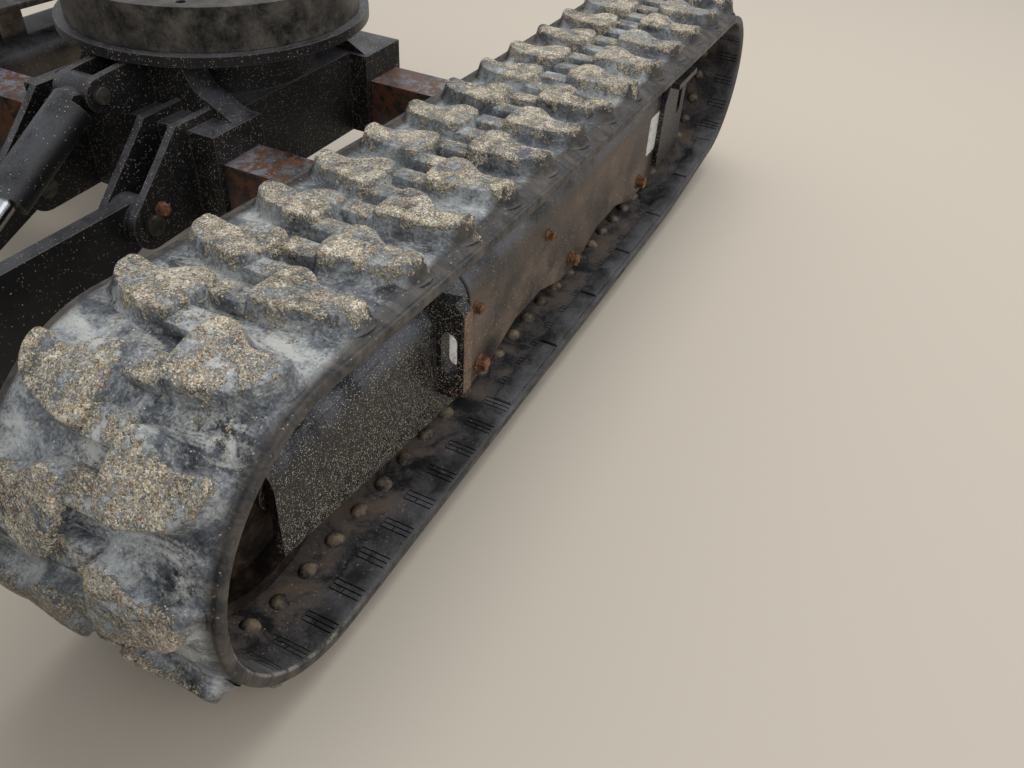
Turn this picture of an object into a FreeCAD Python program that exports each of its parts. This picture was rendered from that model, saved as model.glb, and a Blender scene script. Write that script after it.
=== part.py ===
import FreeCAD, Part
import math
import os
import Sketcher
from FreeCAD import Placement, Rotation, Vector

# The undercarriage of a small excavator: two rubber belts on side frames that slide in and out
# on square beams, the centre frame between them with its slewing ring, and the dozer blade.
# X points forwards, to the blade, Y to the left and Z up. The ground is at Z = 0.

# Every size, in millimetres or as a plain count, with what it measures.
SIZES = [
    ("link_count", 68, "links in one belt"),
    ("link_pitch", 52.5, "length of a link along the belt's steel cords"),
    ("belt_width", 280, "across one belt"),
    ("belt_thickness", 20, "rubber from the inner face to the foot of the lugs"),
    ("cord_depth", 8, "from the belt's inner face to its steel cords"),
    ("lug_height", 25, "lug from the belt's outer face to its tip"),
    ("lug_heel_front", 49, "lug's heel by the belt's middle, ahead of the lug's own middle"),
    ("lug_heel_rear", 47, "lug's heel behind the lug's own middle"),
    ("lug_heel_end", 53, "from the belt's middle to the end of the heel"),
    ("lug_waist", 31, "lug behind its own middle where heel and bar meet"),
    ("lug_waist_end", 76, "from the belt's middle to that place"),
    ("lug_bar_front", 20, "lug's bar by the belt's edge, ahead of the lug's own middle"),
    ("lug_bar_rear", 32, "lug's bar behind the lug's own middle"),
    ("lug_middle_gap", 5, "from the belt's middle to a lug"),
    ("lug_edge_gap", 10, "from a lug to the belt's edge"),
    ("lug_top_share", 0.84, "lug's tip as a share of its foot"),
    ("lug_root_depth", 12, "how far a lug's solid starts below the belt's face, to meet the bent links"),
    ("top_sag", 10, "sag of the belt's upper run"),
    ("belt_gap", 0.5, "between the belt and what it runs on"),
    ("idler_radius", 157.5, "idler over its rim"),
    ("idler_width", 84, "idler's rim, which runs between the guide lugs"),
    ("idler_rim", 22, "thickness of the rim"),
    ("idler_bevel", 6, "bevel along the rim's two edges"),
    ("idler_web", 24, "thickness of the disc between hub and rim"),
    ("idler_hub_radius", 46, "idler's hub"),
    ("idler_axle_radius", 16, "idler's axle"),
    ("sprocket_width", 26, "sprocket, which runs between the guide lugs"),
    ("yoke_gap", 3, "between the idler and its yoke"),
    ("yoke_thickness", 13, "yoke's two arms"),
    ("yoke_height", 46, "height of the yoke's arms"),
    ("yoke_block", 22, "block that joins the yoke's arms"),
    ("sprocket_teeth", 16, "teeth of the sprocket"),
    ("sprocket_height", 200, "sprocket's axis above the ground"),
    ("sprocket_tooth_depth", 17, "depth of a tooth gap"),
    ("sprocket_gap_length", 26, "tooth gap at its mouth"),
    ("hub_radius", 76, "final drive that carries the sprocket"),
    ("hub_reach", 54, "final drive's cover, outwards from the belt's middle"),
    ("hub_bevel", 12, "length of the slope round that cover"),
    ("hub_bevel_drop", 18, "drop of the slope round that cover"),
    ("motor_radius", 50, "travel motor"),
    ("motor_reach", 126, "travel motor's end, inwards from the belt's middle"),
    ("motor_flange_radius", 88, "travel motor's mounting flange"),
    ("motor_flange", 14, "thickness of that flange"),
    ("motor_spigot_radius", 62, "motor's spigot through its mounting plate"),
    ("fit_gap", 0.3, "round a piece that is seated in another of its own group"),
    ("plate_radius", 96, "rounded end of the motor's mounting plate"),
    ("plate_inset", 34, "from the belt's middle to that plate"),
    ("roller_radius", 48, "bottom roller over its treads"),
    ("roller_width", 84, "bottom roller over its two treads, between the guide lugs"),
    ("roller_groove_radius", 34, "bottom roller between its treads"),
    ("roller_groove", 28, "width between a roller's treads"),
    ("roller_collar_radius", 24, "collars beside its treads"),
    ("roller_axle_radius", 14, "bottom roller's axle"),
    ("roller_gap", 1.5, "between a bottom roller and the belt"),
    ("roller_side_gap", 4, "between a roller's collar and the skirt beside it"),
    ("roller_spacing", 320, "from one bottom roller to the next"),
    ("first_roller_back", 410, "from the idler's axis to the first bottom roller"),
    ("roller_count", 3, "bottom rollers on one side"),
    ("rear_bend_radius", 300, "bend of the belt where it leaves the ground"),
    ("top_roller_radius", 24, "roller under the upper run"),
    ("top_roller_width", 44, "width of that roller"),
    ("top_roller_lug", 9, "thickness of the two lugs that hold it"),
    ("top_roller_gap", 2, "from that roller up to the belt"),
    ("top_roller_side_gap", 1, "between that roller and its lugs"),
    ("frame_width", 150, "across one side frame"),
    ("frame_top", 258, "top of the side frame above the ground"),
    ("frame_floor", 150, "underside of the side frame's closed box"),
    ("frame_edge_radius", 38, "rounded upper edges of the side frame"),
    ("skirt_thickness", 10, "side plates below and ahead of the box"),
    ("skirt_low", 70, "skirt's lower edge at a roller"),
    ("skirt_arch", 97, "skirt's lower edge between rollers"),
    ("foot_length", 70, "length of the skirt's foot at a roller"),
    ("foot_slope", 80, "length of the slope beside a foot"),
    ("nose_reach", 18, "side plates ahead of the idler's axis"),
    ("nose_low", 127, "their lower front corner above the ground"),
    ("idler_bay", 186, "from the idler's axis back to the closed box"),
    ("sprocket_bay", 130, "from the sprocket's axis forwards to the box"),
    ("bracket_back", 290, "from the idler's axis back to the tie-down bracket"),
    ("bracket_thickness", 20, "tie-down bracket"),
    ("bracket_reach", 42, "tie-down bracket, outwards from the frame"),
    ("bracket_low", 127, "tie-down bracket's lower edge"),
    ("bracket_high", 274, "tie-down bracket's upper edge"),
    ("bracket_corner", 14, "its cut-off corners"),
    ("bracket_slope", 6, "drop of its upper edge at the frame"),
    ("bracket_over", 12, "how far it laps over the frame's rounded edge"),
    ("eye_width", 22, "width of the tie-down eyes"),
    ("eye_height", 62, "height of the tie-down eyes"),
    ("eye_middle", 197, "middle of the tie-down eyes above the ground"),
    ("guard_thickness", 10, "rear guard plate"),
    ("guard_overlap", 56, "rear guard plate along the frame's box"),
    ("guard_length", 124, "length of the rear guard plate"),
    ("guard_low", 90, "rear guard plate's lower edge"),
    ("guard_flange", 26, "width of its upper flange"),
    ("guard_corner", 20, "its cut-off upper corner, along the frame"),
    ("guard_eye_inset", 34, "from its rear edge to the middle of its eye"),
    ("guard_eye_lift", 10, "its eye above the bracket's eye"),
    ("track_offset", 540, "from the middle of the machine to a belt's middle, set wide"),
    ("gauge_travel", 110, "how far each side frame slides in"),
    ("beam_size", 80, "square beam"),
    ("beam_height", 235, "beam's middle above the ground"),
    ("beam_spacing", 380, "from the front beam to the rear one"),
    ("beam_end_gap", 6, "from the middle of the machine to a beam's end, set narrow"),
    ("beam_play", 0.1, "between a beam and its sleeve"),
    ("sleeve_wall", 12, "wall of the sleeves"),
    ("sleeve_rise", 33, "height of the boxed top of the sleeves"),
    ("sleeve_half", 185, "half the length of a sleeve"),
    ("leg_foot", 178, "half the width of the sloping legs at the sleeves"),
    ("leg_knee", 112, "half their width at the knee"),
    ("leg_knee_rise", 34, "their knee above the sleeves"),
    ("leg_top", 86, "half their width under the deck"),
    ("leg_thickness", 44, "these legs along the machine"),
    ("drum_radius", 148, "drum between the sleeves and the deck"),
    ("core_half_width", 150, "half the width of the centre frame between the sleeves"),
    ("core_corner", 60, "cut-off corners at the foot of the centre frame"),
    ("deck_height", 395, "underside of the round deck"),
    ("deck_thickness", 15, "round deck"),
    ("deck_radius", 240, "round deck"),
    ("core_bore_radius", 128, "opening through the centre frame"),
    ("swivel_bar", 90, "bar across that opening"),
    ("swivel_bar_thickness", 12, "the same bar"),
    ("swivel_bar_gap", 2, "from the bar's ends to the frame's outer face"),
    ("swivel_radius", 52, "rotary oil joint"),
    ("swivel_foot_radius", 70, "its foot"),
    ("swivel_foot", 16, "thickness of its foot"),
    ("swivel_top", 440, "top of the rotary oil joint above the ground"),
    ("swivel_neck", 60, "length of its thinner upper part"),
    ("swivel_step", 8, "step down to that part"),
    ("ring_teeth", 48, "teeth inside the slewing ring"),
    ("ring_tip_radius", 143, "slewing ring over its teeth"),
    ("ring_root_radius", 152, "slewing ring at the foot of its teeth"),
    ("ring_race_radius", 178, "slewing ring where its two races meet"),
    ("ring_play", 0.4, "between the two races"),
    ("ring_outer_radius", 225, "slewing ring's outer race"),
    ("ring_inner_height", 52, "height of the inner race"),
    ("ring_outer_height", 62, "height of the outer race"),
    ("ring_lift", 0.6, "from the deck to the outer race"),
    ("ring_bolt_circle", 402, "diameter of the circle of bolts"),
    ("ring_bolt_count", 12, "bolt holes"),
    ("ring_bolt_radius", 7, "radius of a bolt hole"),
    ("ring_bolt_depth", 40, "depth of a bolt hole"),
    ("pivot_forward", 337, "blade's pivot ahead of the slewing axis"),
    ("pivot_drop", 20, "blade's pivot below the level of the beams"),
    ("arm_offset", 105, "from the middle of the machine to a blade arm"),
    ("arm_thickness", 25, "blade arm"),
    ("boss_width", 44, "blade arm at its pivot"),
    ("arm_play", 0.5, "on each side of this boss between its ears"),
    ("ear_thickness", 12, "ears at the blade's pivot"),
    ("ear_radius", 36, "rounded end of these ears"),
    ("ear_reach", 46, "ears ahead of the sleeve at its top"),
    ("ear_over", 14, "ears above the top of the sleeve"),
    ("ear_slope", 24, "cut-off upper corner of the ears"),
    ("ear_back", 10, "from the back of the sleeve to the ears' rear end"),
    ("boss_radius", 34, "blade arm's end at the pivot"),
    ("pivot_pin_radius", 15, "blade's pivot pins"),
    ("pin_play", 0.1, "round a pin"),
    ("pin_head", 6, "pin beyond the ear on each side"),
    ("blade_gap", 155, "from the belts' front to the blade's back"),
    ("blade_width", 1120, "blade without its extensions"),
    ("blade_wing", 120, "each extension"),
    ("blade_top", 305, "blade's upper edge above the ground"),
    ("blade_low", 20, "lower edge of the curved plate above the ground"),
    ("blade_flat_top", 96, "top of the flat strip that carries the cutting edge"),
    ("blade_plate", 9, "thickness of the curved plate"),
    ("blade_dish", 42, "how far the plate curves back"),
    ("blade_depth", 84, "from the blade's back to its upper lip"),
    ("edge_thickness", 14, "cutting edge"),
    ("edge_clearance", 3, "cutting edge above the ground"),
    ("edge_top", 90, "top of the cutting edge above the ground"),
    ("edge_bevel", 8, "bevel along the cutting edge's top"),
    ("beam_back_low", 40, "foot of the blade's back beam"),
    ("beam_back_high", 118, "top of that beam"),
    ("arm_low", 60, "arm's lower edge at the blade"),
    ("arm_belly", 104, "arm's lower edge below the cross tube"),
    ("arm_knee", 290, "from the pivot to the knee in the arm's upper edge"),
    ("arm_high", 196, "arm's upper edge at the blade"),
    ("arm_toe_drop", 6, "arm's toe below the top of the back beam"),
    ("cross_forward", 560, "cross tube ahead of the slewing axis"),
    ("cross_height", 140, "middle of the cross tube above the ground"),
    ("cross_size", 60, "cross tube"),
    ("eye_rise", 60, "blade cylinder's front pin above the middle of the cross tube"),
    ("base_forward", 285, "blade cylinder's rear pin ahead of the slewing axis"),
    ("base_drop", 33, "blade cylinder's rear pin below the underside of the deck"),
    ("base_lug_depth", 70, "height of the root of the lugs that hold the rear pin"),
    ("cylinder_radius", 30, "blade cylinder"),
    ("cylinder_length", 192, "from the rear pin to the end of the cylinder"),
    ("cylinder_bore_start", 66, "from the rear pin to the bottom of its bore"),
    ("cylinder_bevel", 8, "bevel at the cylinder's rear end"),
    ("rod_radius", 15, "blade cylinder's rod"),
    ("rod_play", 0.08, "round a rod"),
    ("rod_length", 172, "from the front pin to the rod's end"),
    ("eye_radius", 24, "eyes at both ends of the cylinder"),
    ("eye_thickness", 38, "width of these eyes"),
    ("cylinder_pin_radius", 12, "pins of the cylinder"),
    ("lug_side_gap", 1, "beside an eye between its lugs"),
    ("lug_thickness", 12, "lugs that hold the cylinder's pins"),
    ("rod_eye_play", 2, "round the front pin in the rod's eye"),
    ("spread_gap", 6.9, "between the gauge cylinder and the centre frame above it"),
    ("spread_radius", 30, "gauge cylinder"),
    ("spread_rod_radius", 16, "gauge cylinder's rod"),
    ("spread_length", 385, "gauge cylinder from the side frame"),
    ("spread_bore", 345, "depth of its bore"),
    ("spread_engaged", 60, "rod inside the cylinder, set wide"),
    ("spread_foot", 84, "foot plates of the gauge cylinder"),
    ("spread_foot_thickness", 12, "the same plates"),
    ("spread_foot_rise", 45, "these plates along the side frame's box"),
    ("cut_over", 1, "how far a cut starts outside the piece"),
]


class Size:
    """A size with the text that binds it to the sheet, so sums of sizes stay bound to their cells."""

    def __init__(self, value, text):
        self.value = value
        self.text = text

    @staticmethod
    def of(other):
        return other if isinstance(other, Size) else Size(other, "(%.9g)" % other)

    def __add__(self, other):
        other = Size.of(other)
        return Size(self.value + other.value, "(%s + %s)" % (self.text, other.text))

    def __sub__(self, other):
        other = Size.of(other)
        return Size(self.value - other.value, "(%s - %s)" % (self.text, other.text))

    def __mul__(self, other):
        other = Size.of(other)
        return Size(self.value * other.value, "(%s * %s)" % (self.text, other.text))

    def __truediv__(self, other):
        other = Size.of(other)
        return Size(self.value / other.value, "(%s / %s)" % (self.text, other.text))

    def __radd__(self, other):
        return Size.of(other) + self

    def __rsub__(self, other):
        return Size.of(other) - self

    def __rmul__(self, other):
        return Size.of(other) * self

    def __neg__(self):
        return self * -1

    def __float__(self):
        return float(self.value)


doc = FreeCAD.newDocument("undercarriage")
sheet = doc.addObject("Spreadsheet::Sheet", "sizes")


def cell(row, name, value, meaning):
    """One row of the sheet: the name, the number and what it measures."""
    sheet.set("A%d" % row, name)
    sheet.set("B%d" % row, str(value))
    sheet.set("C%d" % row, meaning)
    sheet.setAlias("B%d" % row, name)
    return Size(value, "sizes." + name)


class Sizes:
    """All sizes by their names."""


d = Sizes()
for row, (name, value, meaning) in enumerate(SIZES, 1):
    setattr(d, name, cell(row, name, value, meaning))
doc.recompute()


SIDES = ((1, "left"), (-1, "right"))


def origin_part(body, role):
    """One of the body's own planes or axes."""
    return [item for item in body.Origin.OriginFeatures if item.Role == role][0]


class Circle:
    """A circle in a sketch, at (across, up)."""

    def __init__(self, across, up, radius):
        self.across = across
        self.up = up
        self.radius = radius


def bind(sketch, kind, *places_and_size):
    """A constraint whose number follows the sheet."""
    size = Size.of(places_and_size[-1])
    index = sketch.addConstraint(Sketcher.Constraint(kind, *places_and_size[:-1], size.value))
    sketch.setExpression("Constraints[%d]" % index, size.text)


def draw(sketch, loop):
    """One closed loop: a Circle, or the corners of a straight-sided outline."""
    first = sketch.GeometryCount
    if isinstance(loop, Circle):
        centre = Vector(float(loop.across), float(loop.up), 0)
        sketch.addGeometry(Part.Circle(centre, Vector(0, 0, 1), float(loop.radius)), False)
        bind(sketch, "Radius", first, loop.radius)
        bind(sketch, "DistanceX", -1, 1, first, 3, loop.across)
        bind(sketch, "DistanceY", -1, 1, first, 3, loop.up)
        return
    corners = [Vector(float(across), float(up), 0) for across, up in loop]
    for index, corner in enumerate(corners):
        following = corners[(index + 1) % len(corners)]
        sketch.addGeometry(Part.LineSegment(corner, following), False)
    for index, (across, up) in enumerate(loop):
        line = first + index
        following = first + (index + 1) % len(loop)
        sketch.addConstraint(Sketcher.Constraint("Coincident", line, 2, following, 1))
        bind(sketch, "DistanceX", -1, 1, line, 1, across)
        bind(sketch, "DistanceY", -1, 1, line, 1, up)


# Each plane's role, and which way its sketch faces along the third axis.
PLANES = {"XY": ("XY_Plane", 1), "XZ": ("XZ_Plane", -1), "YZ": ("YZ_Plane", 1)}


def sketch_on(body, name, plane, loops, at=0):
    """A sketch on one of the body's own planes, moved to the place along its axis."""
    role, facing = PLANES[plane]
    sketch = body.newObject("Sketcher::SketchObject", name + "_sketch")
    sketch.AttachmentSupport = [(origin_part(body, role), "")]
    sketch.MapMode = "FlatFace"
    offset = Size.of(at) * facing
    sketch.AttachmentOffset = Placement(Vector(0, 0, offset.value), Rotation())
    sketch.setExpression("AttachmentOffset.Base.z", offset.text)
    for loop in loops:
        draw(sketch, loop)
    return sketch


def new_body(label):
    body = doc.addObject("PartDesign::Body", label)
    body.Label = label
    return body


def add(body, name, plane, loops, low, high):
    """Material over an outline, from low to high along the plane's axis."""
    start = low if PLANES[plane][1] > 0 else high
    sketch = sketch_on(body, name, plane, loops, start)
    pad = body.newObject("PartDesign::Pad", name)
    pad.Profile = sketch
    length = Size.of(high) - low
    pad.Length = length.value
    pad.setExpression("Length", length.text)
    doc.recompute()
    return pad


def cut(body, name, plane, loops, low, high):
    """A hole over an outline, from low to high along the plane's axis."""
    before = body.Shape.Volume
    start = high if PLANES[plane][1] > 0 else low
    sketch = sketch_on(body, name, plane, loops, start)
    pocket = body.newObject("PartDesign::Pocket", name)
    pocket.Profile = sketch
    length = Size.of(high) - low
    pocket.Length = length.value
    pocket.setExpression("Length", length.text)
    doc.recompute()
    if body.Shape.Volume >= before - 1e-6:
        raise ValueError("%s cuts nothing from %s" % (name, body.Label))
    return pocket


def turn(body, name, plane, loops, axis="H_Axis"):
    """A turned piece; the outline lies on one side of the axis."""
    sketch = sketch_on(body, name, plane, loops)
    solid = body.newObject("PartDesign::Revolution", name)
    solid.Profile = sketch
    solid.ReferenceAxis = (sketch, [axis])
    solid.Angle = 360
    doc.recompute()
    return solid


def round_edges(body, name, radius, chosen):
    """A fillet on the edges that the test picks from the body's present shape."""
    base = body.Tip
    names = ["Edge%d" % (n + 1) for n, edge in enumerate(base.Shape.Edges) if chosen(edge)]
    if not names:
        raise ValueError("%s finds no edge on %s" % (name, body.Label))
    fillet = body.newObject("PartDesign::Fillet", name)
    fillet.Base = (base, names)
    fillet.Radius = float(radius)
    fillet.setExpression("Radius", radius.text)
    doc.recompute()
    return fillet


def box_loop(left, low, right, high):
    """The corners of an upright rectangle."""
    return [(left, low), (right, low), (right, high), (left, high)]


def span(side, low, high):
    """A stretch outwards from the middle, turned over on the right-hand side."""
    return (Size.of(low), Size.of(high)) if side > 0 else (-Size.of(high), -Size.of(low))


finished = []


def finish(piece, forward, left, up):
    """The piece's place, measured from the slewing axis, the machine's middle and the ground."""
    piece.Placement = Placement(Vector(slew_x + float(forward), float(left), float(up)), Rotation())
    finished.append(piece)


def root_of(size):
    """A square root that stays bound to the sheet."""
    return Size(math.sqrt(size.value), "sqrt(%s)" % size.text)


def edge_end(corner, centre, radius):
    """Where a straight edge that starts at a corner meets a round end, on its front side."""
    across = corner[0] - centre[0]
    up = corner[1] - centre[1]
    square = across * across + up * up
    near = radius * radius / square
    aside = radius * root_of(square - radius * radius) / square
    return centre[0] + across * near + up * aside, centre[1] + up * near - across * aside


def tangent(first, second):
    """Where a tight belt leaves one wheel and meets the next: circles as (x, z, radius)."""
    run = Vector(second[0] - first[0], 0, second[1] - first[1])
    length = run.Length
    along = run / length
    outward = Vector(along.z, 0, -along.x)
    lean = (first[2] - second[2]) / length
    normal = along * lean + outward * math.sqrt(1 - lean * lean)
    return (Vector(first[0], 0, first[1]) + normal * first[2],
            Vector(second[0], 0, second[1]) + normal * second[2])


def arc_round(circle, start, end):
    """The belt's arc round a wheel, anticlockwise as seen with X to the right and Z up."""
    centre = Vector(circle[0], 0, circle[1])
    first = math.atan2(start.z - centre.z, start.x - centre.x)
    last = math.atan2(end.z - centre.z, end.x - centre.x)
    if last <= first:
        last += 2 * math.pi
    middle = (first + last) / 2
    through = centre + Vector(math.cos(middle), 0, math.sin(middle)) * circle[2]
    return Part.Arc(start, through, end).toShape()


pitch = d.link_pitch.value
cord_level = float(d.lug_height + d.belt_thickness - d.cord_depth)
idler_path = math.hypot(float(d.idler_radius + d.belt_gap + d.cord_depth), pitch / 2)
idler_level = round(cord_level + idler_path, 3)
sprocket_path = pitch / 2 / math.sin(math.pi / d.sprocket_teeth.value)
roller_level = float(d.lug_height + d.belt_thickness + d.roller_gap + d.roller_radius)
last_roller_back = d.first_roller_back + d.roller_spacing * (d.roller_count - 1)


def belt_path(wheelbase):
    """The line of the steel cords round the wheels, with the idler's axis at X = 0."""
    idler = (0, cord_level + idler_path, idler_path)
    sprocket = (-wheelbase, d.sprocket_height.value, sprocket_path)
    bend = (-float(last_roller_back), cord_level + d.rear_bend_radius.value, d.rear_bend_radius.value)
    top_front, top_rear = tangent(idler, sprocket)
    rise_rear, rise_front = tangent(sprocket, bend)
    ground_rear, ground_front = tangent(bend, idler)
    sag = (top_front + top_rear) / 2 - Vector(0, 0, d.top_sag.value)
    return Part.Wire([
        Part.Arc(top_front, sag, top_rear).toShape(),
        arc_round(sprocket, top_rear, rise_rear),
        Part.LineSegment(rise_rear, rise_front).toShape(),
        arc_round(bend, rise_front, ground_rear),
        Part.LineSegment(ground_rear, ground_front).toShape(),
        arc_round(idler, ground_front, top_front),
    ])


# The belt's length sets the idler's place, as the grease tensioner does on the machine.
belt_length = pitch * d.link_count.value
trial = (belt_length - math.pi * (idler_path + sprocket_path)) / 2
for _ in range(3):
    trial += (belt_length - belt_path(trial).Length) / 2
d.wheelbase = cell(len(SIZES) + 1, "wheelbase", round(trial, 3), "worked out from the belt's length")
doc.recompute()
half_base = d.wheelbase / 2

# What reaches furthest forwards and back sets the origin under the middle of the whole part.
belt_over_cords = float(d.belt_thickness - d.cord_depth)
idler_reach = round(idler_path + belt_over_cords + d.lug_height.value, 3)
sprocket_reach = round(sprocket_path + belt_over_cords + d.lug_height.value, 3)
blade_back = half_base + idler_reach + d.blade_gap
edge_front = blade_back + d.blade_depth
front_reach = float(edge_front)
rear_reach = float(half_base + sprocket_reach)
slew_x = (rear_reach - front_reach) / 2

sleeve_size = d.beam_size + 2 * d.beam_play + 2 * d.sleeve_wall
sleeve_low = d.beam_height - sleeve_size / 2
sleeve_high = d.beam_height + sleeve_size / 2 + d.sleeve_rise
pivot_height = d.beam_height - d.pivot_drop
base_level = d.deck_height - d.base_drop
eye_level = d.cross_height + d.eye_rise
spread_height = sleeve_low - d.spread_gap - d.spread_radius
frame_half = d.frame_width / 2
skirt_inside = frame_half - d.skirt_thickness


def offset_corners(points, distance):
    """Each corner of the belt's line moved outwards, so that every link stays flat."""
    moved = []
    count = len(points)
    for index, point in enumerate(points):
        before = (point - points[index - 1]).normalize()
        after = (points[(index + 1) % count] - point).normalize()
        way = (before + after).normalize()
        normal = Vector(way.z, 0, -way.x)
        moved.append(point + normal * (distance / way.dot(after)))
    return moved


def prism(loop, low, high):
    """A solid over a loop of points in the XZ plane, from low to high along Y."""
    placed = [Vector(p.x, low, p.z) for p in loop]
    face = Part.Face(Part.makePolygon(placed + placed[:1]))
    return face.extrude(Vector(0, high - low, 0))


def frustum(foot, tip):
    """A solid between two flat loops of as many corners, whose matching sides are parallel."""
    faces = [Part.Face(Part.makePolygon(foot + foot[:1])), Part.Face(Part.makePolygon(tip + tip[:1]))]
    for index in range(len(foot)):
        following = (index + 1) % len(foot)
        side = [foot[index], foot[following], tip[following], tip[index]]
        faces.append(Part.Face(Part.makePolygon(side + side[:1])))
    solid = Part.makeSolid(Part.makeShell(faces))
    if solid.Volume < 0:
        solid.reverse()
    return solid


def lug_outline():
    """A lug seen from above, like a boot: a broad heel by the belt's middle and a bar to its edge.
    Each corner is (along the belt, across it), and the upper run moves rearwards along the belt."""
    inner = d.lug_middle_gap.value
    outer = float(d.belt_width / 2 - d.lug_edge_gap)
    return [
        (-d.lug_heel_front.value, inner), (-d.lug_heel_front.value, d.lug_heel_end.value),
        (-d.lug_bar_front.value, outer), (d.lug_bar_rear.value, outer),
        (d.lug_waist.value, d.lug_waist_end.value), (d.lug_heel_rear.value, d.lug_heel_end.value),
        (d.lug_heel_rear.value, inner),
    ]


def belt_shape():
    """The whole belt, its middle at Y = 0: a loop of flat links with a lug on each, row by row in turn."""
    path = belt_path(d.wheelbase.value)
    cords = path.discretize(Number=int(d.link_count.value) + 1)[:-1]
    half = float(d.belt_width / 2)
    outer = prism(offset_corners(cords, belt_over_cords), -half, half)
    wide = half + d.cut_over.value
    inner = prism(offset_corners(cords, -d.cord_depth.value), -wide, wide)
    band = outer.cut(inner)
    lugs = []
    for index, start in enumerate(cords):
        end = cords[(index + 1) % len(cords)]
        along = (end - start).normalize()
        up = Vector(along.z, 0, -along.x)
        middle = (start + end) / 2 + up * belt_over_cords
        row = 1 if index % 2 else -1
        foot = []
        tip = []
        share = d.lug_top_share.value
        centre = (d.lug_middle_gap.value + float(d.belt_width / 2 - d.lug_edge_gap)) / 2
        for onward, across in lug_outline():
            sunk = middle - up * d.lug_root_depth.value
            foot.append(sunk + along * onward + Vector(0, row * across, 0))
            high = middle + up * d.lug_height.value + along * (onward * share)
            tip.append(high + Vector(0, row * (centre + (across - centre) * share), 0))
        lugs.append(frustum(foot, tip))
    return band.multiFuse(lugs)


def track_belts():
    shape = belt_shape()
    if len(shape.Solids) != 1:
        raise ValueError("a belt is one solid")
    for side, label in SIDES:
        belt = doc.addObject("Part::Feature", label + "_track_belt")
        belt.Label = label + "_track_belt"
        belt.Shape = shape.Solids[0] if side > 0 else shape.Solids[0].mirror(Vector(), Vector(0, 1, 0))
        finish(belt, half_base, side * d.track_offset, 0)


def skirt_outline():
    """The side frame from the side, X from the slewing axis: nose, box and a foot at each roller."""
    front = half_base + d.nose_reach
    rear = -half_base + d.sprocket_bay
    half = d.foot_length / 2
    feet = []
    for number in range(int(d.roller_count.value)):
        middle = half_base - d.first_roller_back - d.roller_spacing * number
        feet += [
            (middle + half + d.foot_slope, d.skirt_arch),
            (middle + half, d.skirt_low),
            (middle - half, d.skirt_low),
            (middle - half - d.foot_slope, d.skirt_arch),
        ]
    # the nose and the rear end run straight to the nearest foot
    between = feet[1:-1]
    return [(front, d.frame_top), (front, d.nose_low)] + between + [(rear, d.skirt_arch), (rear, d.frame_top)]


def side_frames():
    for side, label in SIDES:
        frame = new_body(label + "_side_frame")
        add(frame, "sides", "XZ", [skirt_outline()], -frame_half, frame_half)
        round_edges(frame, "top_edges", d.frame_edge_radius, lambda edge: (
            edge.BoundBox.ZLength < 0.01 and edge.BoundBox.YLength < 0.01
            and abs(edge.BoundBox.ZMax - float(d.frame_top)) < 0.01))
        front = half_base + d.nose_reach
        rear = -half_base + d.sprocket_bay
        hollow = box_loop(-skirt_inside, d.skirt_low - d.cut_over, skirt_inside, d.frame_floor)
        cut(frame, "underside", "YZ", [hollow], rear - d.cut_over, front + d.cut_over)
        bay = box_loop(half_base - d.idler_bay, -skirt_inside, front + d.cut_over, skirt_inside)
        cut(frame, "idler_space", "XY", [bay], d.skirt_low, d.frame_top + d.cut_over)
        near, far = span(side, -d.plate_inset - d.skirt_thickness, -d.plate_inset)
        rise = d.plate_radius - d.skirt_thickness
        plate = box_loop(-half_base, d.sprocket_height - rise, rear + d.skirt_thickness,
                         d.sprocket_height + rise)
        add(frame, "motor_plate", "XZ", [plate], near, far)
        end = Circle(-half_base, d.sprocket_height, d.plate_radius)
        add(frame, "motor_plate_end", "XZ", [end], near, far)
        cut(frame, "motor_bore", "XZ", [Circle(-half_base, d.sprocket_height, d.motor_spigot_radius)],
            near - d.cut_over, far + d.cut_over)
        inner_end = d.beam_end_gap + d.gauge_travel - d.track_offset
        near, far = span(side, inner_end, d.frame_edge_radius - frame_half)
        half_beam = d.beam_size / 2
        for place, forward in (("front", d.beam_spacing / 2), ("rear", -d.beam_spacing / 2)):
            beam = box_loop(forward - half_beam, d.beam_height - half_beam,
                            forward + half_beam, d.beam_height + half_beam)
            add(frame, place + "_beam", "XZ", [beam], near, far)
        finish(frame, 0, side * d.track_offset, 0)


def idlers():
    half = d.idler_width / 2
    web = d.idler_web / 2
    under = d.idler_radius - d.idler_rim
    end = half + d.yoke_gap + d.yoke_thickness
    right_half = [
        (half - d.idler_bevel, d.idler_radius), (half, d.idler_radius - d.idler_bevel),
        (half, under), (web, under),
        (web, d.idler_hub_radius), (half, d.idler_hub_radius), (half, d.idler_axle_radius),
        (end, d.idler_axle_radius), (end, 0),
    ]
    left_half = [(-across, up) for across, up in reversed(right_half)]
    for side, label in SIDES:
        idler = new_body(label + "_idler")
        turn(idler, "wheel", "YZ", [left_half + right_half])
        finish(idler, half_base, side * d.track_offset, idler_level)


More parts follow.
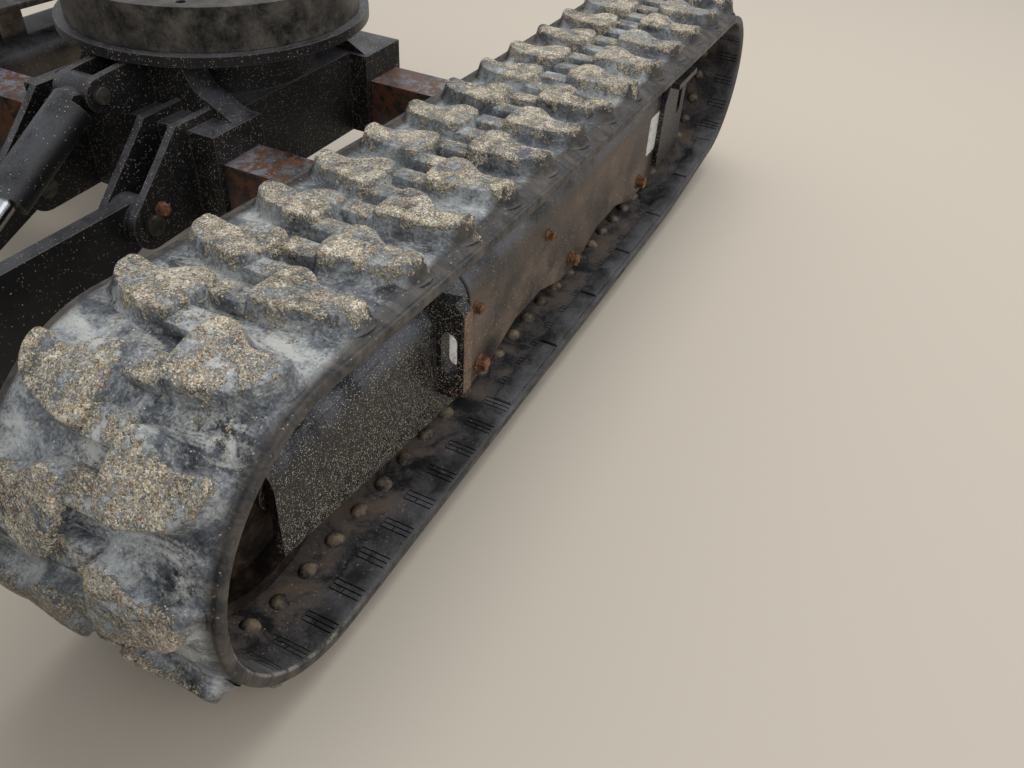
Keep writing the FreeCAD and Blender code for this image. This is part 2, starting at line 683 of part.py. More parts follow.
def idler_yokes():
    """A fork behind the idler: two arms that hold its axle, and the block that the tensioner pushes."""
    inner = d.idler_width / 2 + d.yoke_gap
    outer = inner + d.yoke_thickness
    half = d.yoke_height / 2
    back = -d.idler_bay
    for side, label in SIDES:
        yoke = new_body(label + "_idler_yoke")
        add(yoke, "block", "XZ", [box_loop(back, -half, back + d.yoke_block, half)], -outer, outer)
        for place, near, far in (("outer_arm", inner, outer), ("inner_arm", -outer, -inner)):
            add(yoke, place, "XZ", [box_loop(back + d.yoke_block / 2, -half, 0, half)], near, far)
            add(yoke, place + "_end", "XZ", [Circle(0, 0, half)], near, far)
        cut(yoke, "axle_bore", "XZ", [Circle(0, 0, d.idler_axle_radius + d.pin_play)],
            -outer - d.cut_over, outer + d.cut_over)
        finish(yoke, half_base, side * d.track_offset, idler_level)


def sprockets():
    """A toothed disc that fills the space inside the belt, whose pitch line is the belt's cords."""
    flat = math.sqrt(sprocket_path ** 2 - (pitch / 2) ** 2) - d.cord_depth.value
    tip = round(flat, 3) - d.belt_gap
    root = tip - d.sprocket_tooth_depth
    half = d.sprocket_width / 2
    mouth = d.sprocket_gap_length / 2
    for side, label in SIDES:
        sprocket = new_body(label + "_sprocket")
        bore = Circle(0, 0, d.hub_radius + d.fit_gap)
        add(sprocket, "disc", "XZ", [Circle(0, 0, tip), bore], -half, half)
        above = tip + d.cut_over
        gap = [(-mouth / 2, root), (mouth / 2, root), (mouth, above), (-mouth, above)]
        notch = cut(sprocket, "tooth_gap", "XZ", [gap], -half - d.cut_over, half + d.cut_over)
        ring = sprocket.newObject("PartDesign::PolarPattern", "tooth_gaps")
        ring.Originals = [notch]
        ring.Axis = (origin_part(sprocket, "Y_Axis"), [""])
        ring.Angle = 360
        ring.Occurrences = int(d.sprocket_teeth.value)
        ring.setExpression("Occurrences", d.sprocket_teeth.text)
        sprocket.Tip = ring
        doc.recompute()
        finish(sprocket, -half_base, side * d.track_offset, d.sprocket_height)


def travel_motors():
    """The oil motor on the inner face of its plate, and the final drive that turns the sprocket."""
    seat = d.plate_inset + d.skirt_thickness
    for side, label in SIDES:
        motor = new_body(label + "_travel_motor")
        outline = [
            (-d.motor_reach, 0), (-d.motor_reach, d.motor_radius),
            (-seat - d.motor_flange, d.motor_radius), (-seat - d.motor_flange, d.motor_flange_radius),
            (-seat, d.motor_flange_radius), (-seat, d.motor_spigot_radius - d.fit_gap),
            (-d.plate_inset, d.motor_spigot_radius - d.fit_gap), (-d.plate_inset, d.hub_radius),
            (d.hub_reach - d.hub_bevel, d.hub_radius), (d.hub_reach, d.hub_radius - d.hub_bevel_drop),
            (d.hub_reach, 0),
        ]
        if side < 0:
            outline = [(-across, up) for across, up in outline]
        turn(motor, "housing", "YZ", [outline])
        finish(motor, -half_base, side * d.track_offset, d.sprocket_height)


ROLLER_PLACES = ("front", "middle", "rear")


def bottom_rollers():
    half = d.roller_width / 2
    groove = d.roller_groove / 2
    collar = skirt_inside - d.roller_side_gap
    right_half = [
        (groove, d.roller_groove_radius), (groove, d.roller_radius), (half, d.roller_radius),
        (half, d.roller_collar_radius), (collar, d.roller_collar_radius),
        (collar, d.roller_axle_radius), (skirt_inside, d.roller_axle_radius), (skirt_inside, 0),
    ]
    left_half = [(-across, up) for across, up in reversed(right_half)]
    for side, label in SIDES:
        for number in range(int(d.roller_count.value)):
            roller = new_body("%s_roller_%s" % (label, ROLLER_PLACES[number]))
            turn(roller, "spool", "YZ", [left_half + right_half])
            forward = half_base - d.first_roller_back - d.roller_spacing * number
            finish(roller, forward, side * d.track_offset, roller_level)


def upper_run_height(forward):
    """The belt's inner face over a place, measured from the idler's axis."""
    path = belt_path(d.wheelbase.value)
    ray = Part.makeLine(Vector(forward, 0, idler_level), Vector(forward, 0, 3 * idler_level))
    return path.distToShape(ray)[1][0][0].z - d.cord_depth.value


def top_rollers():
    """A small roller that carries the belt's upper run, held by two lugs on the frame's top."""
    level = round(upper_run_height(-d.wheelbase.value / 2), 3) - d.top_roller_gap - d.top_roller_radius
    half = d.top_roller_width / 2
    inner = half + d.top_roller_side_gap
    outer = inner + d.top_roller_lug
    axle = d.top_roller_radius / 2
    for side, label in SIDES:
        holder = new_body(label + "_top_roller")
        outline = [(-outer, 0), (-outer, axle), (-half, axle), (-half, d.top_roller_radius),
                   (half, d.top_roller_radius), (half, axle), (outer, axle), (outer, 0)]
        turn(holder, "spool", "YZ", [outline])
        foot = d.frame_top - level
        for place, near, far in (("outer_lug", inner, outer), ("inner_lug", -outer, -inner)):
            add(holder, place, "XZ", [box_loop(-axle * 2, foot, axle * 2, axle)], near, far)
        finish(holder, 0, side * d.track_offset, level)


def oblong(across, up, width, height):
    """The three loops of an upright oblong hole: its straight part and its two round ends."""
    reach = (height - width) / 2
    straight = box_loop(across - width / 2, up - reach, across + width / 2, up + reach)
    return [straight], [Circle(across, up + reach, width / 2), Circle(across, up - reach, width / 2)]


def tie_down_brackets():
    """An upright plate across the frame's outer side, with an oblong eye and cut-off corners."""
    outer = frame_half + d.bracket_reach
    inner = frame_half - d.bracket_over
    bend = d.frame_top - d.frame_edge_radius
    thick = d.bracket_thickness / 2
    for side, label in SIDES:
        bracket = new_body(label + "_tie_down_bracket")
        outline = [
            (side * frame_half, d.bracket_low), (side * (outer - d.bracket_corner), d.bracket_low),
            (side * outer, d.bracket_low + d.bracket_corner),
            (side * outer, d.bracket_high - d.bracket_corner),
            (side * (outer - d.bracket_corner), d.bracket_high),
            (side * inner, d.bracket_high - d.bracket_slope), (side * inner, bend), (side * frame_half, bend),
        ]
        add(bracket, "plate", "YZ", [outline], -thick, thick)
        edge = Circle(side * (frame_half - d.frame_edge_radius), bend, d.frame_edge_radius + d.fit_gap)
        cut(bracket, "frame_edge", "YZ", [edge], -thick - d.cut_over, thick + d.cut_over)
        middle = side * (frame_half + d.bracket_reach / 2)
        straight, ends = oblong(middle, d.eye_middle, d.eye_width, d.eye_height)
        cut(bracket, "eye", "YZ", straight, -thick - d.cut_over, thick + d.cut_over)
        cut(bracket, "eye_ends", "YZ", ends, -thick - d.cut_over, thick + d.cut_over)
        finish(bracket, half_base - d.bracket_back - thick, side * d.track_offset, 0)


def rear_guards():
    """A plate that carries on the frame's outer side over the sprocket, with an eye and a flange."""
    start = -half_base + d.sprocket_bay + d.guard_overlap
    end = start - d.guard_length
    for side, label in SIDES:
        guard = new_body(label + "_rear_guard")
        near, far = span(side, frame_half, frame_half + d.guard_thickness)
        outline = [(start, d.skirt_arch), (start, d.frame_top - d.frame_edge_radius),
                   (start - d.guard_corner, d.frame_top), (end, d.frame_top), (end, d.guard_low)]
        add(guard, "plate", "XZ", [outline], near, far)
        near, far = span(side, frame_half, frame_half + d.guard_flange)
        flange = box_loop(end, d.frame_top - d.guard_thickness, start - d.guard_corner, d.frame_top)
        add(guard, "flange", "XZ", [flange], near, far)
        straight, ends = oblong(end + d.guard_eye_inset, d.eye_middle + d.guard_eye_lift,
                                d.eye_width, d.eye_height)
        near, far = span(side, frame_half - d.cut_over, frame_half + d.guard_thickness + d.cut_over)
        cut(guard, "eye", "XZ", straight, near, far)
        cut(guard, "eye_ends", "XZ", ends, near, far)
        finish(guard, 0, side * d.track_offset, 0)


def octagon(half_length, half_width, corner):
    """An eight-sided outline with equal cut-off corners."""
    return [
        (half_length, half_width - corner), (half_length - corner, half_width),
        (-half_length + corner, half_width), (-half_length, half_width - corner),
        (-half_length, -half_width + corner), (-half_length + corner, -half_width),
        (half_length - corner, -half_width), (half_length, -half_width + corner),
    ]


def centre_frame():
    """The welded frame between the side frames: sleeves, box, drum, round deck, sloping legs and ears."""
    core = new_body("centre_frame")
    half_sleeve = sleeve_size / 2
    beam_middle = d.beam_spacing / 2
    core_half = beam_middle + half_sleeve
    add(core, "box", "XY", [octagon(core_half, d.core_half_width, d.core_corner)], sleeve_low, sleeve_high)
    add(core, "drum", "XY", [Circle(0, 0, d.drum_radius)], sleeve_high, d.deck_height)
    add(core, "deck", "XY", [Circle(0, 0, d.deck_radius)], d.deck_height, d.deck_height + d.deck_thickness)
    knee = sleeve_high + d.leg_knee_rise
    for place, side in (("front", 1), ("rear", -1)):
        middle = side * beam_middle
        outline = box_loop(middle - half_sleeve, sleeve_low, middle + half_sleeve, sleeve_high)
        add(core, place + "_sleeve", "XZ", [outline], -d.sleeve_half, d.sleeve_half)
        leg = [(d.leg_foot, sleeve_high), (d.leg_knee, knee), (d.leg_top, d.deck_height),
               (-d.leg_top, d.deck_height), (-d.leg_knee, knee), (-d.leg_foot, sleeve_high)]
        near, far = span(side, beam_middle - d.leg_thickness, beam_middle)
        add(core, place + "_leg", "YZ", [leg], near, far)
    top = sleeve_high + d.ear_over
    slope = (core_half + d.ear_reach, top - d.ear_slope)
    back = core_half - sleeve_size + d.ear_back
    root = core_half - d.sleeve_wall / 2
    ear = [(root, sleeve_low), (d.pivot_forward, pivot_height - d.ear_radius),
           edge_end(slope, (d.pivot_forward, pivot_height), d.ear_radius), slope,
           (core_half + d.ear_reach - d.ear_slope, top), (back, top),
           (back, sleeve_high - d.sleeve_wall), (root, sleeve_high - d.sleeve_wall)]
    inner = d.boss_width / 2 + d.arm_play
    for place, side in (("left", 1), ("right", -1)):
        for part, low in (("outer", d.arm_offset + inner), ("inner", d.arm_offset - inner - d.ear_thickness)):
            near, far = span(side, low, low + d.ear_thickness)
            add(core, "%s_%s_ear" % (place, part), "XZ", [ear], near, far)
            add(core, "%s_%s_ear_end" % (place, part), "XZ",
                [Circle(d.pivot_forward, pivot_height, d.ear_radius)], near, far)
    lug_inner = d.eye_thickness / 2 + d.lug_side_gap
    for place, side in (("left", 1), ("right", -1)):
        near, far = span(side, lug_inner, lug_inner + d.lug_thickness)
        root = beam_middle - d.sleeve_wall
        lug = [(root, d.deck_height), (root, base_level - d.base_lug_depth),
               (d.base_forward, base_level - d.eye_radius),
               (d.base_forward, base_level + d.eye_radius)]
        add(core, place + "_lug", "XZ", [lug], near, far)
        add(core, place + "_lug_end", "XZ", [Circle(d.base_forward, base_level, d.eye_radius)], near, far)
    bore = (d.beam_size / 2) + d.beam_play
    for place, forward in (("front", d.beam_spacing / 2), ("rear", -d.beam_spacing / 2)):
        outline = box_loop(forward - bore, d.beam_height - bore, forward + bore, d.beam_height + bore)
        cut(core, place + "_bore", "XZ", [outline], -d.sleeve_half - d.cut_over, d.sleeve_half + d.cut_over)
    cut(core, "middle_bore", "XY", [Circle(0, 0, d.core_bore_radius)], sleeve_low - d.cut_over,
        d.deck_height + d.deck_thickness + d.cut_over)
    bar_end = d.core_half_width - d.swivel_bar_gap
    bar = box_loop(-d.swivel_bar / 2, -bar_end, d.swivel_bar / 2, bar_end)
    add(core, "swivel_bar", "XY", [bar], sleeve_low, sleeve_low + d.swivel_bar_thickness)
    reach = d.arm_offset + inner + d.ear_thickness + d.cut_over
    cut(core, "pivot_holes", "XZ", [Circle(d.pivot_forward, pivot_height, d.pivot_pin_radius + d.pin_play)],
        -reach, reach)
    reach = lug_inner + d.lug_thickness + d.cut_over
    cut(core, "cylinder_holes", "XZ", [Circle(d.base_forward, base_level,
                                              d.cylinder_pin_radius + d.pin_play)], -reach, reach)
    finish(core, 0, 0, 0)


def swivel_joint():
    """The rotary oil joint that stands on the bar in the middle of the slewing ring."""
    joint = new_body("swivel_joint")
    foot_level = sleeve_low + d.swivel_bar_thickness
    height = d.swivel_top - foot_level
    neck_radius = d.swivel_radius - d.swivel_step
    outline = [(0, 0), (d.swivel_foot_radius, 0), (d.swivel_foot_radius, d.swivel_foot),
               (d.swivel_radius, d.swivel_foot), (d.swivel_radius, height - d.swivel_neck),
               (neck_radius, height - d.swivel_neck), (neck_radius, height), (0, height)]
    turn(joint, "column", "XZ", [outline], "V_Axis")
    finish(joint, 0, 0, foot_level)


def slewing_ring():
    """The toothed inner race bolted to the deck, and the outer race that carries the machine."""
    deck = float(d.deck_height + d.deck_thickness)
    teeth = int(d.ring_teeth.value)
    points = []
    for number in range(teeth):
        turn_angle = 2 * math.pi / teeth
        for share, radius in ((0.0, d.ring_root_radius), (0.26, d.ring_root_radius),
                              (0.42, d.ring_tip_radius), (0.84, d.ring_tip_radius)):
            angle = (number + share) * turn_angle
            points.append(Vector(radius.value * math.cos(angle), radius.value * math.sin(angle), 0))
    hollow = Part.Face(Part.makePolygon(points + points[:1])).extrude(Vector(0, 0, d.ring_inner_height.value))
    race = Part.makeCylinder(float(d.ring_race_radius - d.ring_play), d.ring_inner_height.value)
    inner = doc.addObject("Part::Feature", "slewing_ring_inner")
    inner.Label = "slewing_ring_inner"
    inner.Shape = race.cut(hollow).Solids[0]
    finish(inner, 0, 0, deck)

    outer = new_body("slewing_ring_outer")
    add(outer, "race", "XY", [Circle(0, 0, d.ring_outer_radius), Circle(0, 0, d.ring_race_radius)],
        0, d.ring_outer_height)
    hole = cut(outer, "bolt_hole", "XY", [Circle(d.ring_bolt_circle / 2, 0, d.ring_bolt_radius)],
               d.ring_outer_height - d.ring_bolt_depth, d.ring_outer_height)
    ring = outer.newObject("PartDesign::PolarPattern", "bolt_holes")
    ring.Originals = [hole]
    ring.Axis = (origin_part(outer, "Z_Axis"), [""])
    ring.Angle = 360
    ring.Occurrences = int(d.ring_bolt_count.value)
    ring.setExpression("Occurrences", d.ring_bolt_count.text)
    outer.Tip = ring
    doc.recompute()
    finish(outer, 0, 0, deck + d.ring_lift.value)


def blade_frame():
    """Two arms from the pivots to the back beam, joined by a cross tube with the cylinder's lugs."""
    frame = new_body("blade_frame")
    back_front = blade_back + d.blade_depth - d.blade_plate - d.edge_thickness
    half_width = d.blade_width / 2
    beam = [(blade_back, d.beam_back_low), (back_front, d.blade_low + d.blade_plate),
            (back_front, d.blade_flat_top), (blade_back, d.beam_back_high)]
    add(frame, "back_beam", "XZ", [beam], -half_width, half_width)
    half_cross = d.cross_size / 2
    for place, side in (("left", 1), ("right", -1)):
        near, far = span(side, d.arm_offset - d.arm_thickness / 2, d.arm_offset + d.arm_thickness / 2)
        arm = [(d.pivot_forward, pivot_height - d.boss_radius),
               (d.cross_forward - half_cross, d.arm_belly), (blade_back + d.blade_plate, d.arm_low),
               (blade_back + d.blade_plate, d.beam_back_high - d.arm_toe_drop), (blade_back, d.arm_high),
               (d.pivot_forward + d.arm_knee, pivot_height + d.boss_radius),
               (d.pivot_forward, pivot_height + d.boss_radius)]
        add(frame, place + "_arm", "XZ", [arm], near, far)
        near, far = span(side, d.arm_offset - d.boss_width / 2, d.arm_offset + d.boss_width / 2)
        add(frame, place + "_boss", "XZ", [Circle(d.pivot_forward, pivot_height, d.boss_radius)], near, far)
    cross = box_loop(d.cross_forward - half_cross, d.cross_height - half_cross,
                     d.cross_forward + half_cross, d.cross_height + half_cross)
    add(frame, "cross_tube", "XZ", [cross], -d.arm_offset, d.arm_offset)
    lug_inner = d.eye_thickness / 2 + d.lug_side_gap
    for place, side in (("left", 1), ("right", -1)):
        near, far = span(side, lug_inner, lug_inner + d.lug_thickness)
        lug = [(d.cross_forward - half_cross, d.cross_height), (d.cross_forward + half_cross, d.cross_height),
               (d.cross_forward + d.eye_radius, eye_level), (d.cross_forward - d.eye_radius, eye_level)]
        add(frame, place + "_lug", "XZ", [lug], near, far)
        add(frame, place + "_lug_end", "XZ", [Circle(d.cross_forward, eye_level, d.eye_radius)], near, far)
    cut(frame, "pivot_holes", "XZ", [Circle(d.pivot_forward, pivot_height, d.pivot_pin_radius + d.pin_play)],
        -d.arm_offset - d.boss_width, d.arm_offset + d.boss_width)
    reach = lug_inner + d.lug_thickness + d.cut_over
    cut(frame, "cylinder_holes", "XZ", [Circle(d.cross_forward, eye_level,
                                               d.cylinder_pin_radius + d.pin_play)], -reach, reach)
    finish(frame, 0, 0, 0)


def curved_plate(low, high):
    """The blade's dished plate: a flat strip at the foot and an arc above it, from low to high along Y."""
    front = float(blade_back + d.blade_depth - d.edge_thickness)
    thick = d.blade_plate.value
    bottom = d.blade_low.value
    knee = d.blade_flat_top.value
    top = d.blade_top.value
    middle = (knee + top) / 2
    dish = d.blade_dish.value

    def at(x, z):
        return Vector(x, low, z)

    edges = [
        Part.LineSegment(at(front, bottom), at(front, knee)).toShape(),
        Part.Arc(at(front, knee), at(front - dish, middle), at(front, top)).toShape(),
        Part.LineSegment(at(front, top), at(front - thick, top)).toShape(),
        Part.Arc(at(front - thick, top), at(front - thick - dish, middle), at(front - thick, knee)).toShape(),
        Part.LineSegment(at(front - thick, knee), at(front - thick, bottom)).toShape(),
        Part.LineSegment(at(front - thick, bottom), at(front, bottom)).toShape(),
    ]
    return Part.Face(Part.Wire(edges)).extrude(Vector(0, high - low, 0))


def blade_plates():
    half = float(d.blade_width / 2)
    wing = d.blade_wing.value
    for label, low, high in (("blade_plate", -half, half), ("left_blade_wing", half, half + wing),
                             ("right_blade_wing", -half - wing, -half)):
        plate = doc.addObject("Part::Feature", label)
        plate.Label = label
        plate.Shape = curved_plate(low, high)
        finish(plate, 0, 0, 0)


def cutting_edge():
    edge = new_body("cutting_edge")
    front = blade_back + d.blade_depth
    outline = [(front - d.edge_thickness, d.edge_clearance), (front, d.edge_clearance + d.edge_thickness),
               (front, d.edge_top - d.edge_bevel), (front - d.edge_bevel, d.edge_top),
               (front - d.edge_thickness, d.edge_top)]
    half = d.blade_width / 2 + d.blade_wing
    add(edge, "bar", "XZ", [outline], -half, half)
    finish(edge, 0, 0, 0)


def pins():
    """Straight pins along Y: each with its place, radius and the stretch that it passes through."""
    half = d.boss_width / 2 + d.arm_play + d.ear_thickness + d.pin_head
    outer = d.arm_offset + half
    inner = d.arm_offset - half
    lug = d.eye_thickness / 2 + d.lug_side_gap + d.lug_thickness + d.pin_head
    table = (
        ("left_pivot_pin", d.pivot_forward, pivot_height, d.pivot_pin_radius, inner, outer),
        ("right_pivot_pin", d.pivot_forward, pivot_height, d.pivot_pin_radius, -outer, -inner),
        ("cylinder_rear_pin", d.base_forward, base_level, d.cylinder_pin_radius, -lug, lug),
        ("cylinder_front_pin", d.cross_forward, eye_level, d.cylinder_pin_radius, -lug, lug),
    )
    for label, forward, up, radius, low, high in table:
        pin = new_body(label)
        add(pin, "shaft", "XZ", [Circle(0, 0, radius)], low, high)
        finish(pin, forward, 0, up)


def blade_cylinder():
    """The lift cylinder, drawn along X from its rear pin and then turned to point at the blade."""
    down = math.degrees(math.atan2(float(base_level - eye_level), float(d.cross_forward - d.base_forward)))
    length = math.hypot(float(base_level - eye_level), float(d.cross_forward - d.base_forward))
    half_eye = d.eye_thickness / 2
    barrel = new_body("blade_cylinder_barrel")
    turn(barrel, "tube", "XZ", [[(d.eye_radius / 2, 0),
                                 (d.eye_radius / 2, d.cylinder_radius - d.cylinder_bevel),
                                 (d.eye_radius, d.cylinder_radius), (d.cylinder_length, d.cylinder_radius),
                                 (d.cylinder_length, d.rod_radius + d.rod_play),
                                 (d.cylinder_bore_start, d.rod_radius + d.rod_play),
                                 (d.cylinder_bore_start, 0)]])
    cheek_end = d.eye_radius + d.cylinder_bevel
    for place, near, far in (("left", half_eye, half_eye + d.eye_radius),
                             ("right", -half_eye - d.eye_radius, -half_eye)):
        cut(barrel, place + "_cheek", "XY", [box_loop(0, near, cheek_end, far)],
            -d.cylinder_radius, d.cylinder_radius)
    add(barrel, "eye", "XZ", [Circle(0, 0, d.eye_radius)], -half_eye, half_eye)
    cut(barrel, "eye_bore", "XZ", [Circle(0, 0, d.cylinder_pin_radius + d.pin_play)],
        -half_eye - d.cut_over, half_eye + d.cut_over)
    rod = new_body("blade_cylinder_rod")
    add(rod, "eye", "XZ", [Circle(0, 0, d.eye_radius)], -half_eye, half_eye)
    add(rod, "bar", "YZ", [Circle(0, 0, d.rod_radius)], -d.rod_length, -d.eye_radius / 2)
    cut(rod, "eye_bore", "XZ", [Circle(0, 0, d.cylinder_pin_radius + d.rod_eye_play)],
        -half_eye - d.cut_over, half_eye + d.cut_over)
    lean = Rotation(Vector(0, 1, 0), down)
    base = Vector(slew_x + d.base_forward.value, 0, base_level.value)
    barrel.Placement = Placement(base, lean)
    rod.Placement = Placement(base + lean.multVec(Vector(length, 0, 0)), lean)
    finished.extend([barrel, rod])


def gauge_cylinder():
    """The cylinder that pushes the side frames apart: its barrel on the left one, its rod on the right."""
    inside = d.track_offset - frame_half
    foot = d.spread_foot / 2
    foot_high = d.frame_floor + d.spread_foot_rise - spread_height
    barrel = new_body("gauge_cylinder_barrel")
    far = inside
    near = inside - d.spread_length
    add(barrel, "tube", "XZ", [Circle(0, 0, d.spread_radius)], near, far - d.spread_foot_thickness)
    cut(barrel, "bore", "XZ", [Circle(0, 0, d.spread_rod_radius + d.rod_play)], near, near + d.spread_bore)
    plate = box_loop(-foot, -d.spread_radius, foot, foot_high)
    add(barrel, "foot", "XZ", [plate], far - d.spread_foot_thickness, far)
    finish(barrel, 0, 0, spread_height)
    rod = new_body("gauge_cylinder_rod")
    tip = inside - d.spread_length + d.spread_engaged
    add(rod, "bar", "XZ", [Circle(0, 0, d.spread_rod_radius)], -inside + d.spread_foot_thickness, tip)
    add(rod, "foot", "XZ", [plate], -inside, -inside + d.spread_foot_thickness)
    finish(rod, 0, 0, spread_height)


track_belts()
side_frames()
idlers()
idler_yokes()
sprockets()
travel_motors()
bottom_rollers()
top_rollers()
tie_down_brackets()
rear_guards()
centre_frame()
swivel_joint()
slewing_ring()
blade_frame()
blade_plates()
cutting_edge()
pins()
blade_cylinder()
gauge_cylinder()
doc.recompute()

for item in doc.Objects:
    if "Invalid" in item.State or "Error" in item.State:
        raise ValueError("%s has the state %s" % (item.Label, item.State))
for piece in finished:
    if piece.Shape.isNull() or not piece.Shape.isValid():
        raise ValueError("%s has no valid shape" % piece.Label)
    if len(piece.Shape.Solids) != 1:
        raise ValueError("%s has %d solids" % (piece.Label, len(piece.Shape.Solids)))

os.makedirs("parts", exist_ok=True)
for piece in finished:
    piece.Shape.exportStep("parts/%s.step" % piece.Label)
print("wheelbase %.2f, slewing axis at X = %.2f, %d pieces" % (d.wheelbase.value, slew_x, len(finished)))
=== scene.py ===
import math

import bpy
import numpy as np
from mathutils import Matrix, Vector


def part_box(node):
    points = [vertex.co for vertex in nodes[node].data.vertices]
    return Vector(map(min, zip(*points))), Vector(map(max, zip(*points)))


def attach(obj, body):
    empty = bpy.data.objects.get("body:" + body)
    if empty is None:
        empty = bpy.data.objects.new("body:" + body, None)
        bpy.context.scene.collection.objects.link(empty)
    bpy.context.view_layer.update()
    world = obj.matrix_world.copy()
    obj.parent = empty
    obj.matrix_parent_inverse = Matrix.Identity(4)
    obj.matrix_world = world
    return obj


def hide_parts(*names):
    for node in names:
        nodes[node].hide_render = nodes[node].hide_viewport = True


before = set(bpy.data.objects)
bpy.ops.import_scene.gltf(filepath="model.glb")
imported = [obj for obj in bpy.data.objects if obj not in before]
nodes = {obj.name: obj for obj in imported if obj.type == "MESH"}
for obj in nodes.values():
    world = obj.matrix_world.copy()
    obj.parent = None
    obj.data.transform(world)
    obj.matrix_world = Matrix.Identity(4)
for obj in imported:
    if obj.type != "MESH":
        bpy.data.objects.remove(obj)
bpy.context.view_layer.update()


# Camera. It looks down and back along the left belt from beside its front end.
# Its place, tilt and lens come from points on the near belt in the photograph.
bpy.ops.object.select_all(action="DESELECT")
idler_low, idler_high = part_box("left_idler")
idler_x = (idler_low.x + idler_high.x) / 2
bpy.ops.object.camera_add(location=(idler_x + 0.4686, 1.0667, 0.8803))
camera = bpy.context.object
camera.name = "camera"
yaw, pitch, roll = math.radians(24.34), math.radians(39.82), math.radians(3.71)
sight = Vector((-math.cos(yaw) * math.cos(pitch), -math.sin(yaw) * math.cos(pitch), -math.sin(pitch)))
turned = sight.to_track_quat("-Z", "Y").to_matrix() @ Matrix.Rotation(roll, 3, "Z")
camera.rotation_euler = turned.to_euler()
camera.data.sensor_width = 36
camera.data.lens = 36 * 894.7 / 1024
camera.data.clip_start = 0.02
bpy.context.scene.camera = camera


# Studio floor. A wide matt sheet in the pale warm grey of dry ground.
# It has no grain of its own, so that only the machine shows detail.
def linear(colour):
    """A colour written as sRGB hex, as the linear values that the shaders take."""
    values = [int(colour[i:i + 2], 16) / 255 for i in (1, 3, 5)]
    return tuple(v / 12.92 if v <= 0.04045 else ((v + 0.055) / 1.055) ** 2.4 for v in values) + (1.0,)


def add_node(tree, kind, inputs=None, **settings):
    """Adds a node with its settings. An input given as a socket is linked, any other is set."""
    node = tree.nodes.new(kind)
    for key, value in settings.items():
        setattr(node, key, value)
    for key, value in (inputs or {}).items():
        if isinstance(value, bpy.types.NodeSocket):
            tree.links.new(value, node.inputs[key])
        else:
            node.inputs[key].default_value = value
    return node


def new_material(name):
    """An empty material and its node tree."""
    material = bpy.data.materials.new(name)
    material.use_nodes = True
    material.node_tree.nodes.clear()
    return material, material.node_tree


bpy.ops.mesh.primitive_plane_add(size=40)
floor = bpy.context.object
floor.name = "floor"
matt_floor, tree = new_material("matt_floor_sheet")
shader = add_node(tree, "ShaderNodeBsdfPrincipled", {"Base Color": linear("#d9cebd"), "Roughness": 0.9})
add_node(tree, "ShaderNodeOutputMaterial", {"Surface": shader.outputs[0]})
floor.data.materials.append(matt_floor)


# Studio light. A large soft lamp overhead and a little behind, as under a bright
# overcast sky, with the world as a cool fill from all round.
def soft_lamp(name, place, target, size, watts, colour):
    data = bpy.data.lights.new(name, "AREA")
    data.size = size
    data.energy = watts
    data.color = linear(colour)[:3]
    lamp = bpy.data.objects.new(name, data)
    bpy.context.scene.collection.objects.link(lamp)
    lamp.location = place
    lamp.rotation_euler = (Vector(target) - Vector(place)).to_track_quat("-Z", "Y").to_euler()


soft_lamp("sky_lamp", (-1.6, 0.6, 3.6), (0, 0, 0), 3.0, 62, "#ffffff")
soft_lamp("side_lamp", (1.0, 3.4, 2.2), (0, 0.2, 0.2), 2.4, 16, "#f2f5fa")
world = bpy.data.worlds.new("studio")
bpy.context.scene.world = world
world.use_nodes = True
world.node_tree.nodes["Background"].inputs["Color"].default_value = linear("#eceef2")
world.node_tree.nodes["Background"].inputs["Strength"].default_value = 0.62
bpy.context.scene.view_settings.view_transform = "Standard"


# Rubber belts. Each is one endless band of black natural rubber, moulded in a heated press
# over steel cords and forged cores. Wet silt has dried on it as a pale film, and coarse sand
# sticks to the worn tops of its lugs.
LINKS = 68
PITCH = 0.0525
CORD_DEPTH = 0.008          # from the inner face down to the cords
BAND_TOP = 0.012            # from the cords up to the foot of the lugs
LUG_TOP = 0.0365            # from the cords up to a lug's tip
mm = 0.001


def pick(obj, chosen, kind="faces"):
    """Leaves edit mode and selects the faces, edges or vertices that the test takes."""
    bpy.ops.object.mode_set(mode="OBJECT")
    for part in (obj.data.polygons, obj.data.edges, obj.data.vertices):
        part.foreach_set("select", [False] * len(part))
    items = {"faces": obj.data.polygons, "vertices": obj.data.vertices, "edges": obj.data.edges}[kind]
    for item in items:
        item.select = bool(chosen(item))
    bpy.context.tool_settings.mesh_select_mode = (kind == "vertices", kind == "edges", kind == "faces")
    bpy.ops.object.mode_set(mode="EDIT")


def points_of(obj):
    """A mesh's points as rows of numbers."""
    values = np.zeros(len(obj.data.vertices) * 3)
    obj.data.vertices.foreach_get("co", values)
    return values.reshape(-1, 3)


def set_points(obj, values):
    obj.data.vertices.foreach_set("co", np.asarray(values, float).ravel())
    obj.data.update()


def apply_modifier(obj, name, kind, **settings):
    """Adds a modifier with its settings and applies it."""
    bpy.context.view_layer.objects.active = obj
    modifier = obj.modifiers.new(name, kind)
    for key, value in settings.items():
        setattr(modifier, key, value)
    bpy.ops.object.modifier_apply(modifier=modifier.name)


def alone(obj):
    """Makes an object the only selected one, and the active one."""
    bpy.ops.object.select_all(action="DESELECT")
    obj.select_set(True)
    bpy.context.view_layer.objects.active = obj


def joined(parts, name):
    """Joins the parts into the first, under a new name."""
    bpy.ops.object.select_all(action="DESELECT")
    for part in parts:
        part.select_set(True)
    bpy.context.view_layer.objects.active = parts[0]
    if len(parts) > 1:
        bpy.ops.object.join()
    parts[0].name = parts[0].data.name = name
    return parts[0]


